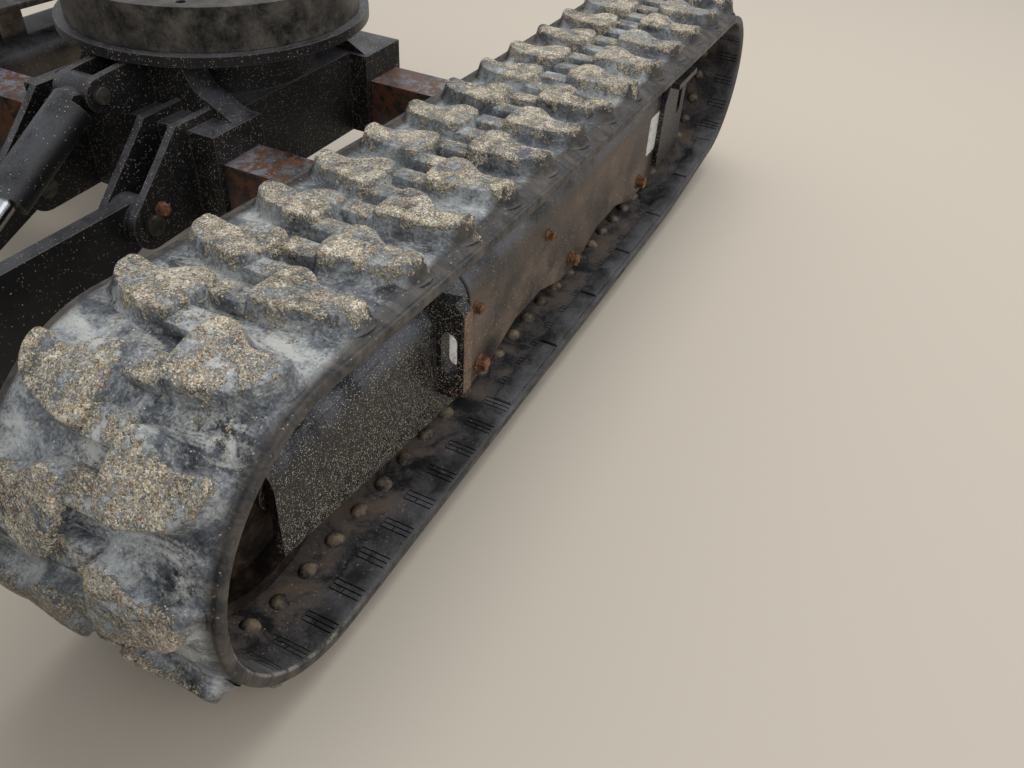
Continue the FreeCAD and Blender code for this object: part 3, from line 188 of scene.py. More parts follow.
def clean(obj, gap=0.00005):
    """Merges doubles and turns all faces outwards."""
    alone(obj)
    bpy.ops.object.mode_set(mode="EDIT")
    bpy.ops.mesh.select_all(action="SELECT")
    bpy.ops.mesh.remove_doubles(threshold=gap)
    bpy.ops.mesh.normals_make_consistent(inside=False)
    bpy.ops.object.mode_set(mode="OBJECT")


def tangent(first, second):
    """Where a tight belt leaves one wheel and meets the next: wheels as (x, z, radius)."""
    run = Vector((second[0] - first[0], second[1] - first[1]))
    along = run.normalized()
    lean = (first[2] - second[2]) / run.length
    normal = along * lean + Vector((along.y, -along.x)) * math.sqrt(1 - lean * lean)
    return normal


def cord_points():
    """The cords' line round the wheels, anticlockwise with X to the right and Z up."""
    wheels = [REAR_BEND, IDLER, SPROCKET]
    leaving = [tangent(wheels[i], wheels[(i + 1) % 3]) for i in range(3)]
    points = []
    for i, (x, z, radius) in enumerate(wheels):
        start = math.atan2(leaving[i - 1].y, leaving[i - 1].x)
        turn = (math.atan2(leaving[i].y, leaving[i].x) - start) % (2 * math.pi)
        steps = max(4, int(turn / math.radians(2.5)))
        for k in range(steps + 1):
            angle = start + turn * k / steps
            points.append(Vector((x + radius * math.cos(angle), z + radius * math.sin(angle))))
        if i == 1:
            first = points[-1]
            last = Vector(SPROCKET[:2]) + leaving[1] * SPROCKET[2]
            for k in range(1, 30):
                share = k / 30
                sag = Vector((0, 4 * TOP_SAG * share * (1 - share)))
                points.append(first.lerp(last, share) - sag)
    return points


sprocket_low, sprocket_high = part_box("left_sprocket")
belt_low, belt_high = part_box("left_track_belt")
sprocket_x = (sprocket_low.x + sprocket_high.x) / 2
belt_y = (belt_low.y + belt_high.y) / 2
TOP_SAG = 0.010
IDLER = (idler_x, 0.20509, 0.16809)
SPROCKET = (sprocket_x, 0.200, 0.13455)
REAR_BEND = (idler_x - 1.050, 0.337, 0.300)

line = cord_points()
route = bpy.data.curves.new("cord_line", "CURVE")
route.dimensions = "3D"
route.twist_mode = "MINIMUM"
spline = route.splines.new("POLY")
spline.points.add(len(line) - 1)
for point, place in zip(spline.points, line):
    point.co = (place.x, 0, place.y, 1)
spline.use_cyclic_u = True
route_object = bpy.data.objects.new("cord_line", route)
bpy.context.scene.collection.objects.link(route_object)
belt_length = sum((line[i] - line[i - 1]).length for i in range(len(line)))
stretch = belt_length / (LINKS * PITCH)

# The photograph has a lug of the outer row 75 mm behind the front wheel's axle.
run = 0.0
for start, end in zip(line, line[1:]):
    if start.y > 0.3 and start.x > idler_x - 0.075 >= end.x:
        phase = run + start.x - idler_x + 0.075 - 1.5 * PITCH
    if start.y < 0.1 and start.x <= idler_x - 0.4 < end.x:
        joint_start = belt_length + run + idler_x - 0.4 - start.x
    run += (end - start).length


def wrap(obj, closed=False):
    """Bends a flat strip of links (X along, Y across, Z outwards) round the wheels."""
    flat = points_of(obj)
    flat[:, 0] = flat[:, 0] * stretch + phase
    note = obj.data.attributes.new("flat", "FLOAT_VECTOR", "POINT")
    note.data.foreach_set("vector", flat.ravel())
    normals = np.zeros(len(flat) * 3)
    obj.data.vertices.foreach_get("normal", normals)
    level = obj.data.attributes.new("level", "FLOAT", "POINT")
    level.data.foreach_set("value", normals.reshape(-1, 3)[:, 2].copy())
    set_points(obj, flat * (1, -1, -1))
    apply_modifier(obj, "bend", "CURVE", object=route_object, deform_axis="POS_X")
    if closed:
        alone(obj)
        bpy.ops.object.mode_set(mode="EDIT")
        bpy.ops.mesh.select_all(action="SELECT")
        bpy.ops.mesh.remove_doubles(threshold=0.0002)
        bpy.ops.object.mode_set(mode="OBJECT")


def in_a_row(obj, count, step, merge=False):
    """Repeats a mesh along X."""
    apply_modifier(obj, "row", "ARRAY", count=count, use_relative_offset=False, use_constant_offset=True,
                   constant_offset_displace=(step, 0, 0), use_merge_vertices=merge, merge_threshold=0.00005)


# The band's cross-section, from edge to edge over the top and back inside: a thin lip, a groove,
# a slope up to the lugs, and inside two flat running paths.
half_section = [(0, 12), (20, 12), (60, 12), (100, 12), (118, 11.5), (127, 9), (131, 6.2), (133.5, 5.6),
                (136, 6.8), (138.6, 6), (140, 3), (140, -3), (138.5, -6), (136, -7), (134, -7.6), (128, -8),
                (112.4, -8), (110.8, -8), (95.8, -8), (94, -8), (80, -8), (60, -8), (42, -8), (39, -8.6), (14, -8.6)]
section = half_section + [(-t, h) for t, h in reversed(half_section[1:])]
mark_lines = [0, 9, 18, 19.8, 25.4, 27.2, 33, 34.8, 43.5, 52.5]
bpy.ops.object.select_all(action="DESELECT")
bpy.ops.mesh.primitive_circle_add(vertices=len(section), radius=0.1, fill_type="NOTHING")
band = bpy.context.object
set_points(band, [(0, t * mm, h * mm) for t, h in section])
bpy.ops.object.mode_set(mode="EDIT")
bpy.ops.mesh.select_all(action="SELECT")
for near, far in zip(mark_lines, mark_lines[1:]):
    bpy.ops.mesh.extrude_edges_move(TRANSFORM_OT_translate={"value": ((far - near) * mm, 0, 0)})
bpy.ops.mesh.select_all(action="SELECT")
bpy.ops.mesh.normals_make_consistent(inside=False)


def in_mark(face):
    """The moulding mark inside at each link: three grooves across, and one that joins them."""
    s, t, h = face.center / mm
    if h > -7.5 or not 94 < abs(t) < 134:
        return False
    groove = 18 < s < 19.8 or 25.4 < s < 27.2 or 33 < s < 34.8
    bar = 18 < s < 34.8 and 94 < abs(t) < 95.8 or 110.8 < abs(t) < 112.4 and 25.4 < s < 34.8
    return groove or bar


pick(band, in_mark)
bpy.ops.mesh.extrude_region_move(TRANSFORM_OT_translate={"value": (0, 0, 2.0 * mm)})
bpy.ops.object.mode_set(mode="OBJECT")
in_a_row(band, LINKS, PITCH, merge=True)

# A lug is shaped like a boot: a broad heel by the belt's middle and a bar out to the edge.
# A filleted foot, a long flank, a tight shoulder and a nearly flat top.
foot = [(-45, 6), (-50, 35), (-48, 54), (-41, 77), (-35, 99), (-20, 122), (0, 131), (20, 131),
        (33, 122), (31, 95), (25, 76), (37, 65), (48, 47), (46, 21), (34, 9), (0, 6)]
bpy.ops.object.select_all(action="DESELECT")
bpy.ops.mesh.primitive_circle_add(vertices=len(foot), radius=0.05, fill_type="NGON")
lug = bpy.context.object
set_points(lug, [(s * mm, t * mm, BAND_TOP - 1.5 * mm) for s, t in reversed(foot)])
bpy.ops.object.mode_set(mode="EDIT")
bpy.ops.mesh.select_mode(type="FACE")
bpy.ops.mesh.select_all(action="SELECT")
for thickness, depth in ((3.6, 1.4), (2.8, 4.2), (2.6, 8.6), (2.2, 8.9), (0.8, 1.2), (1.8, 0.8), (2.2, 0.4), (2.2, 0.2)):
    bpy.ops.mesh.inset(thickness=thickness * mm, depth=depth * mm, use_even_offset=True)
bpy.ops.object.mode_set(mode="OBJECT")
apply_modifier(lug, "round", "SUBSURF", levels=1, render_levels=1)
shape = points_of(lug)
reach = np.clip((shape[:, 2] - BAND_TOP) / (LUG_TOP - BAND_TOP), 0, 1)
saddle = 3.4 * mm * np.exp(-((shape[:, 1] / mm - 80) / 20) ** 2) + 2.0 * mm * (shape[:, 1] > 0.085)
shape[:, 2] -= reach ** 2 * saddle
shape[:, 2] *= LUG_TOP / shape[:, 2].max()
set_points(lug, shape)

# The second row is the first one's mirror image, one link further on.
alone(lug)
bpy.ops.object.duplicate()
other = bpy.context.object
set_points(other, points_of(other) * (1, -1, 1) + (PITCH, 0, 0))
bpy.ops.object.mode_set(mode="EDIT")
bpy.ops.mesh.select_all(action="SELECT")
bpy.ops.mesh.flip_normals()
bpy.ops.object.mode_set(mode="OBJECT")
lugs = joined([lug, other], "lugs")
set_points(lugs, points_of(lugs) + (PITCH / 2, 0, 0))
in_a_row(lugs, LINKS // 2, 2 * PITCH)

# Low blocks along the middle tie each lug to the next one on the other side.
bpy.ops.object.select_all(action="DESELECT")
bpy.ops.mesh.primitive_cube_add(size=1, location=(0, 0, 0))
block = bpy.context.object
set_points(block, points_of(block) * (35 * mm, 48 * mm, 18 * mm) + (PITCH, 0, BAND_TOP + 6 * mm))
pick(block, lambda face: face.normal.z > 0.9)
bpy.ops.transform.resize(value=(0.84, 0.9, 1))
bpy.ops.mesh.inset(thickness=5 * mm, depth=0.3 * mm)
bpy.ops.object.mode_set(mode="OBJECT")
apply_modifier(block, "edges", "BEVEL", width=2.2 * mm, segments=2, limit_method="ANGLE")
in_a_row(block, LINKS, PITCH)

# Guide lugs of the steel cores stand in two rows inside, worn to low round nubs.
bpy.ops.object.select_all(action="DESELECT")
bpy.ops.mesh.primitive_circle_add(vertices=10, radius=12.5 * mm, fill_type="NGON")
guide = bpy.context.object
bpy.ops.object.mode_set(mode="EDIT")
bpy.ops.mesh.select_mode(type="FACE")
bpy.ops.mesh.select_all(action="SELECT")
for thickness, depth in ((1.8, 3.2), (2.2, 2.4), (2.8, 1.6), (2.8, 0.6)):
    bpy.ops.mesh.inset(thickness=thickness * mm, depth=depth * mm, use_even_offset=True)
bpy.ops.mesh.select_all(action="SELECT")
bpy.ops.mesh.flip_normals()
bpy.ops.object.mode_set(mode="OBJECT")
set_points(guide, points_of(guide) * (1.12, 1, -1) + (PITCH / 2, 61 * mm, 1 * mm - CORD_DEPTH))
alone(guide)
bpy.ops.object.duplicate()
twin = bpy.context.object
set_points(twin, points_of(twin) * (1, -1, 1))
bpy.ops.object.mode_set(mode="EDIT")
bpy.ops.mesh.select_all(action="SELECT")
bpy.ops.mesh.flip_normals()
bpy.ops.object.mode_set(mode="OBJECT")
guides = joined([guide, twin], "guides")
in_a_row(guides, LINKS, PITCH)

# Where the band's two ends are moulded together, flat pads lie along its outer edge inside,
# each over three links.
bpy.ops.object.select_all(action="DESELECT")
bpy.ops.mesh.primitive_grid_add(x_subdivisions=9, y_subdivisions=1, size=1)
pad = bpy.context.object
bpy.ops.object.mode_set(mode="EDIT")
bpy.ops.mesh.select_mode(type="FACE")
bpy.ops.mesh.select_all(action="SELECT")
bpy.ops.mesh.extrude_region_move(TRANSFORM_OT_translate={"value": (0, 0, 1)})
bpy.ops.object.mode_set(mode="OBJECT")
pad_size = np.array((3 * PITCH - 6 * mm, 27 * mm, 4.4 * mm))
set_points(pad, points_of(pad) * pad_size * (1, 1, -1) + (0, -119 * mm, 0.8 * mm - CORD_DEPTH))
clean(pad)
apply_modifier(pad, "edges", "BEVEL", width=1.6 * mm, segments=2, limit_method="ANGLE")
set_points(pad, points_of(pad) + ((joint_start - phase) / stretch - 1.5 * PITCH, 0, 0))
in_a_row(pad, 6, -3 * PITCH)

# Wear: long shallow swells and small dents, never the same on two lugs.
for name, size, strength in (("swell", 0.045, 3.5 * mm), ("dents", 0.014, 1.6 * mm)):
    wear = bpy.data.textures.new(name, "CLOUDS")
    wear.noise_scale = size
    wear.noise_depth = 2
    apply_modifier(lugs, name, "DISPLACE", texture=wear, strength=strength, mid_level=0.62,
                   texture_coords="LOCAL")
    if name == "dents":
        apply_modifier(block, name, "DISPLACE", texture=wear, strength=strength, mid_level=0.6,
                       texture_coords="LOCAL")

belt_pieces = {"band": band, "lugs": lugs, "middle_blocks": block, "guide_lugs": guides, "joint_pads": pad}
for name, piece in belt_pieces.items():
    alone(piece)
    bpy.ops.object.shade_smooth_by_angle(angle=math.radians(50 if name != "middle_blocks" else 35))
    wrap(piece, closed=name == "band")

# Wet black rubber under a thin film of dried silt: blue-grey where the film is thin, chalky in patches
# on the flats, dark and bare towards the edges. Sand grains of about 1.2 mm cake on the lugs' tops.
rubber, tree = new_material("moulded_belt_rubber")
place = add_node(tree, "ShaderNodeTexCoord").outputs["Object"]
flat = add_node(tree, "ShaderNodeAttribute", attribute_name="flat").outputs["Vector"]
level = add_node(tree, "ShaderNodeAttribute", attribute_name="level").outputs["Fac"]
axes = add_node(tree, "ShaderNodeSeparateXYZ", {0: flat})
across = add_node(tree, "ShaderNodeMath", {0: axes.outputs["Y"]}, operation="ABSOLUTE").outputs[0]
height = axes.outputs["Z"]
patches = add_node(tree, "ShaderNodeTexNoise", {"Vector": place, "Scale": 13, "Detail": 10, "Roughness": 0.7,
                                             "Distortion": 0.5})
speckle = add_node(tree, "ShaderNodeTexNoise", {"Vector": place, "Scale": 300, "Detail": 4, "Roughness": 0.75})
mottle = add_node(tree, "ShaderNodeMath", {0: speckle.outputs[0], 1: 0.3, 2: patches.outputs[0]},
                  operation="MULTIPLY_ADD")
base = add_node(tree, "ShaderNodeValToRGB", {0: mottle.outputs[0]})
base.color_ramp.elements[0].position, base.color_ramp.elements[0].color = 0.52, linear("#23252a")
base.color_ramp.elements[1].position, base.color_ramp.elements[1].color = 0.80, linear("#c2c5c3")
base.color_ramp.elements.new(0.65).color = linear("#686c71")
streaky = add_node(tree, "ShaderNodeMapping", {"Vector": flat, "Scale": (46, 17, 40)})
streaks = add_node(tree, "ShaderNodeTexNoise", {"Vector": streaky.outputs[0], "Scale": 1, "Detail": 7,
                                                "Roughness": 0.7, "Distortion": 0.6})
grainy = add_node(tree, "ShaderNodeMath", {0: speckle.outputs[0], 1: 0.35, 2: streaks.outputs[0]},
                  operation="MULTIPLY_ADD")
film = add_node(tree, "ShaderNodeMapRange", {0: grainy.outputs[0], 1: 0.64, 2: 0.80, 3: 0.0, 4: 0.95})
film_level = add_node(tree, "ShaderNodeMapRange", {0: level, 1: 0.0, 2: 0.95, 3: 0.35, 4: 1.0})
rim = add_node(tree, "ShaderNodeMapRange", {0: across, 1: 0.104, 2: 0.126, 3: 1.0, 4: 0.4})
where = add_node(tree, "ShaderNodeSeparateXYZ", {0: place}).outputs["X"]
front = add_node(tree, "ShaderNodeMapRange", {0: where, 1: idler_x - 0.45, 2: idler_x + 0.05, 3: 0.4, 4: 1.0})
film_near = add_node(tree, "ShaderNodeMath", {0: rim.outputs[0], 1: front.outputs[0]}, operation="MULTIPLY")
film_place = add_node(tree, "ShaderNodeMath", {0: film_near.outputs[0], 1: film_level.outputs[0]},
                      operation="MULTIPLY")
film_share = add_node(tree, "ShaderNodeMath", {0: film.outputs[0], 1: film_place.outputs[0]}, operation="MULTIPLY")
dusty = add_node(tree, "ShaderNodeMix", {0: film_share.outputs[0], 6: base.outputs[0], 7: linear("#cfcfc8")},
                 data_type="RGBA")
edge_start = add_node(tree, "ShaderNodeMapRange", {0: where, 1: idler_x - 0.30, 2: idler_x, 3: 0.108, 4: 0.126})
edge_depth = add_node(tree, "ShaderNodeMath", {0: across, 1: edge_start.outputs[0]}, operation="SUBTRACT")
edge = add_node(tree, "ShaderNodeMapRange", {0: edge_depth.outputs[0], 1: -0.004, 2: 0.006})
edge_colour = add_node(tree, "ShaderNodeValToRGB", {0: grainy.outputs[0]})
edge_colour.color_ramp.elements[0].position, edge_colour.color_ramp.elements[0].color = 0.55, linear("#1f1f22")
edge_colour.color_ramp.elements[1].position, edge_colour.color_ramp.elements[1].color = 0.90, linear("#625a50")
edged = add_node(tree, "ShaderNodeMix", {0: edge.outputs[0], 6: dusty.outputs[2], 7: edge_colour.outputs[0]},
                 data_type="RGBA")

# Inside, the running faces are dark and damp, with brown mud by the rollers and painted shade in the grooves.
inside = add_node(tree, "ShaderNodeMapRange", {0: height, 1: -0.004, 2: -0.0055})
damp = add_node(tree, "ShaderNodeValToRGB", {0: mottle.outputs[0]})
damp.color_ramp.elements[0].position, damp.color_ramp.elements[0].color = 0.55, linear("#2a2929")
damp.color_ramp.elements[1].position, damp.color_ramp.elements[1].color = 0.82, linear("#6c6a6d")
mud_band = add_node(tree, "ShaderNodeMapRange", {0: across, 1: 0.110, 2: 0.08})
mud_noise = add_node(tree, "ShaderNodeMapRange", {0: mottle.outputs[0], 1: 0.60, 2: 0.80})
mud_share = add_node(tree, "ShaderNodeMath", {0: mud_band.outputs[0], 1: mud_noise.outputs[0]}, operation="MULTIPLY")
inner_colour = add_node(tree, "ShaderNodeMix", {0: mud_share.outputs[0], 6: damp.outputs[0], 7: linear("#776550")},
                        data_type="RGBA")
# Painted shade: the floors of the moulding marks' grooves are coloured near black, for the shade that falls in them.
in_groove = add_node(tree, "ShaderNodeMath", {0: height, 1: -0.0062, 2: 0.0012}, operation="COMPARE")
marked = add_node(tree, "ShaderNodeMath", {0: across, 1: 0.115, 2: 0.0198}, operation="COMPARE")
groove = add_node(tree, "ShaderNodeMath", {0: in_groove.outputs[0], 1: marked.outputs[0]}, operation="MULTIPLY")
shaded_grooves = add_node(tree, "ShaderNodeMix", {0: groove.outputs[0], 6: inner_colour.outputs[2], 7: linear("#101012")},
                   data_type="RGBA")
# A pale line along the lip's inner edge at the front end, partly wear and partly a painted highlight where the edge
# catches the light.
lip_wear_and_highlight = add_node(tree, "ShaderNodeMapRange", {0: across, 1: 0.1355, 2: 0.1370})
lip_wear_and_highlight_map = add_node(tree, "ShaderNodeMapRange", {0: grainy.outputs[0], 1: 0.64, 2: 0.76, 3: 0.0, 4: 0.8})
front_end = add_node(tree, "ShaderNodeMapRange", {0: where, 1: idler_x - 0.04, 2: idler_x + 0.06})
lip_wear_and_highlight_here = add_node(tree, "ShaderNodeMath", {0: lip_wear_and_highlight_map.outputs[0], 1: front_end.outputs[0]},
                       operation="MULTIPLY")
lip_wear_and_highlight_share = add_node(tree, "ShaderNodeMath", {0: lip_wear_and_highlight.outputs[0], 1: lip_wear_and_highlight_here.outputs[0]},
                        operation="MULTIPLY")
inner_edge = add_node(tree, "ShaderNodeMix", {0: lip_wear_and_highlight_share.outputs[0], 6: shaded_grooves.outputs[2], 7: linear("#a39b8c")},
                      data_type="RGBA")
both = add_node(tree, "ShaderNodeMix", {0: inside.outputs[0], 6: edged.outputs[2], 7: inner_edge.outputs[2]},
                data_type="RGBA")

# Sand in the colours of washed river sand, over finer pale silt. Its grains of about 1 mm are drawn
# half as large again, so that they show.
grains = add_node(tree, "ShaderNodeTexVoronoi", {"Vector": place, "Scale": 1 / 0.0017, "Randomness": 1.0})
grain_pick = add_node(tree, "ShaderNodeSeparateColor", {0: grains.outputs["Color"]})
sand_colour = add_node(tree, "ShaderNodeValToRGB", {0: grain_pick.outputs[0]})
ramp = sand_colour.color_ramp
ramp.interpolation = "CONSTANT"
ramp.elements.remove(ramp.elements[1])
ramp.elements[0].color = linear("#857a66")
for position, colour in ((0.08, "#b8aa90"), (0.22, "#d8caac"), (0.42, "#efe4cb"), (0.60, "#d4bb92"),
                         (0.72, "#fbf5e6"), (0.86, "#c2baab"), (0.94, "#b9865c")):
    ramp.elements.new(position).color = linear(colour)
crust = add_node(tree, "ShaderNodeTexNoise", {"Vector": place, "Scale": 34, "Detail": 5, "Roughness": 0.72})
fine = add_node(tree, "ShaderNodeTexNoise", {"Vector": place, "Scale": 190, "Detail": 3, "Roughness": 0.65})
shift = add_node(tree, "ShaderNodeMath", {0: crust.outputs[0], 1: 0.5}, operation="SUBTRACT")
fine_shift = add_node(tree, "ShaderNodeMath", {0: fine.outputs[0], 1: 0.5}, operation="SUBTRACT")
lift = add_node(tree, "ShaderNodeMath", {0: shift.outputs[0], 1: 0.11, 2: height}, operation="MULTIPLY_ADD")
ragged = add_node(tree, "ShaderNodeMath", {0: fine_shift.outputs[0], 1: 0.03, 2: lift.outputs[0]},
                  operation="MULTIPLY_ADD")
top = add_node(tree, "ShaderNodeMapRange", {0: ragged.outputs[0], 1: 0.0262, 2: 0.0290})
uneven_level = add_node(tree, "ShaderNodeMath", {0: fine_shift.outputs[0], 1: 1.6, 2: level}, operation="MULTIPLY_ADD")
flat_top = add_node(tree, "ShaderNodeMapRange", {0: uneven_level.outputs[0], 1: 0.02, 2: 0.2})
caked = add_node(tree, "ShaderNodeMath", {0: top.outputs[0], 1: flat_top.outputs[0]}, operation="MULTIPLY")
bare = add_node(tree, "ShaderNodeMapRange", {0: fine.outputs[0], 1: 0.48, 2: 0.62, 3: 0.0, 4: 0.8})
held = add_node(tree, "ShaderNodeMath", {0: grain_pick.outputs[2], 1: bare.outputs[0]}, operation="GREATER_THAN")
caked = add_node(tree, "ShaderNodeMath", {0: caked.outputs[0], 1: held.outputs[0]}, operation="MULTIPLY")
loose = add_node(tree, "ShaderNodeMapRange", {0: grain_pick.outputs[1], 1: 0.985, 2: 0.99})
loose_level = add_node(tree, "ShaderNodeMath", {0: loose.outputs[0], 1: film_place.outputs[0]}, operation="MULTIPLY")
sandy = add_node(tree, "ShaderNodeMath", {0: caked.outputs[0], 1: loose_level.outputs[0]}, operation="MAXIMUM")
silt_share = add_node(tree, "ShaderNodeMapRange", {0: ragged.outputs[0], 1: 0.0235, 2: 0.0290, 3: 0.0, 4: 0.3})
silted = add_node(tree, "ShaderNodeMix", {0: silt_share.outputs[0], 6: both.outputs[2], 7: linear("#aaa498")},
                  data_type="RGBA")
colour = add_node(tree, "ShaderNodeMix", {0: sandy.outputs[0], 6: silted.outputs[2], 7: sand_colour.outputs[0]},
                  data_type="RGBA")
grain_height = add_node(tree, "ShaderNodeMapRange", {0: grains.outputs["Distance"], 1: 0.0, 2: 0.75, 3: 1.0, 4: 0.0})
grain_relief = add_node(tree, "ShaderNodeMath", {0: grain_height.outputs[0], 1: sandy.outputs[0]}, operation="MULTIPLY")
thick = add_node(tree, "ShaderNodeMapRange", {0: ragged.outputs[0], 1: 0.0255, 2: 0.0385, 3: 0.0, 4: 4.5})
lumps = add_node(tree, "ShaderNodeMath", {0: thick.outputs[0], 1: grain_relief.outputs[0]}, operation="ADD")
relief = add_node(tree, "ShaderNodeMath", {0: mottle.outputs[0], 1: 1.6, 2: lumps.outputs[0]},
                  operation="MULTIPLY_ADD")
bump = add_node(tree, "ShaderNodeBump", {"Height": relief.outputs[0], "Distance": 0.001, "Strength": 1.0})
gloss = add_node(tree, "ShaderNodeMapRange", {0: mottle.outputs[0], 1: 0.52, 2: 0.82, 3: 0.34, 4: 0.75})
rough = add_node(tree, "ShaderNodeMix", {0: sandy.outputs[0], 2: gloss.outputs[0], 3: 0.95}, data_type="FLOAT")
shader = add_node(tree, "ShaderNodeBsdfPrincipled", {"Base Color": colour.outputs[2], "Roughness": rough.outputs[0],
                                                     "Normal": bump.outputs[0]})
add_node(tree, "ShaderNodeOutputMaterial", {"Surface": shader.outputs[0]})

# The guide lugs' bare forged steel, brown with wet rust, and lighter at the tips, partly as polish and partly as a
# painted highlight.
core_steel, tree = new_material("forged_core_steel")
place = add_node(tree, "ShaderNodeTexCoord").outputs["Object"]
level = add_node(tree, "ShaderNodeAttribute", attribute_name="level").outputs["Fac"]
stain = add_node(tree, "ShaderNodeTexNoise", {"Vector": place, "Scale": 55, "Detail": 6, "Roughness": 0.65})
# Painted highlight: faces turned towards the lugs' tips are drawn lighter, along with their polish.
tip_wear_and_highlight = add_node(tree, "ShaderNodeMath", {0: level, 1: -0.32, 2: stain.outputs[0]}, operation="MULTIPLY_ADD")
tone = add_node(tree, "ShaderNodeValToRGB", {0: tip_wear_and_highlight.outputs[0]})
tone.color_ramp.elements[0].position, tone.color_ramp.elements[0].color = 0.64, linear("#2b2724")
tone.color_ramp.elements[1].position, tone.color_ramp.elements[1].color = 0.92, linear("#a08d74")
shader = add_node(tree, "ShaderNodeBsdfPrincipled", {"Base Color": tone.outputs[0], "Roughness": 0.65,
                                                     "Metallic": 0.2})
add_node(tree, "ShaderNodeOutputMaterial", {"Surface": shader.outputs[0]})

for side, label in ((1, "left"), (-1, "right")):
    for name, piece in belt_pieces.items():
        alone(piece)
        bpy.ops.object.duplicate()
        made = bpy.context.object
        made.name = made.data.name = label + "_belt_" + name
        set_points(made, points_of(made) * (1, side, 1) + (0, side * belt_y, 0))
        if side < 0:
            bpy.ops.object.mode_set(mode="EDIT")
            bpy.ops.mesh.select_all(action="SELECT")
            bpy.ops.mesh.flip_normals()
            bpy.ops.object.mode_set(mode="OBJECT")
        made.data.materials.clear()
        made.data.materials.append(core_steel if name == "guide_lugs" else rubber)
        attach(made, label + "_track")
        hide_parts(label + "_track_belt")
for piece in list(belt_pieces.values()) + [route_object]:
    bpy.data.objects.remove(piece)


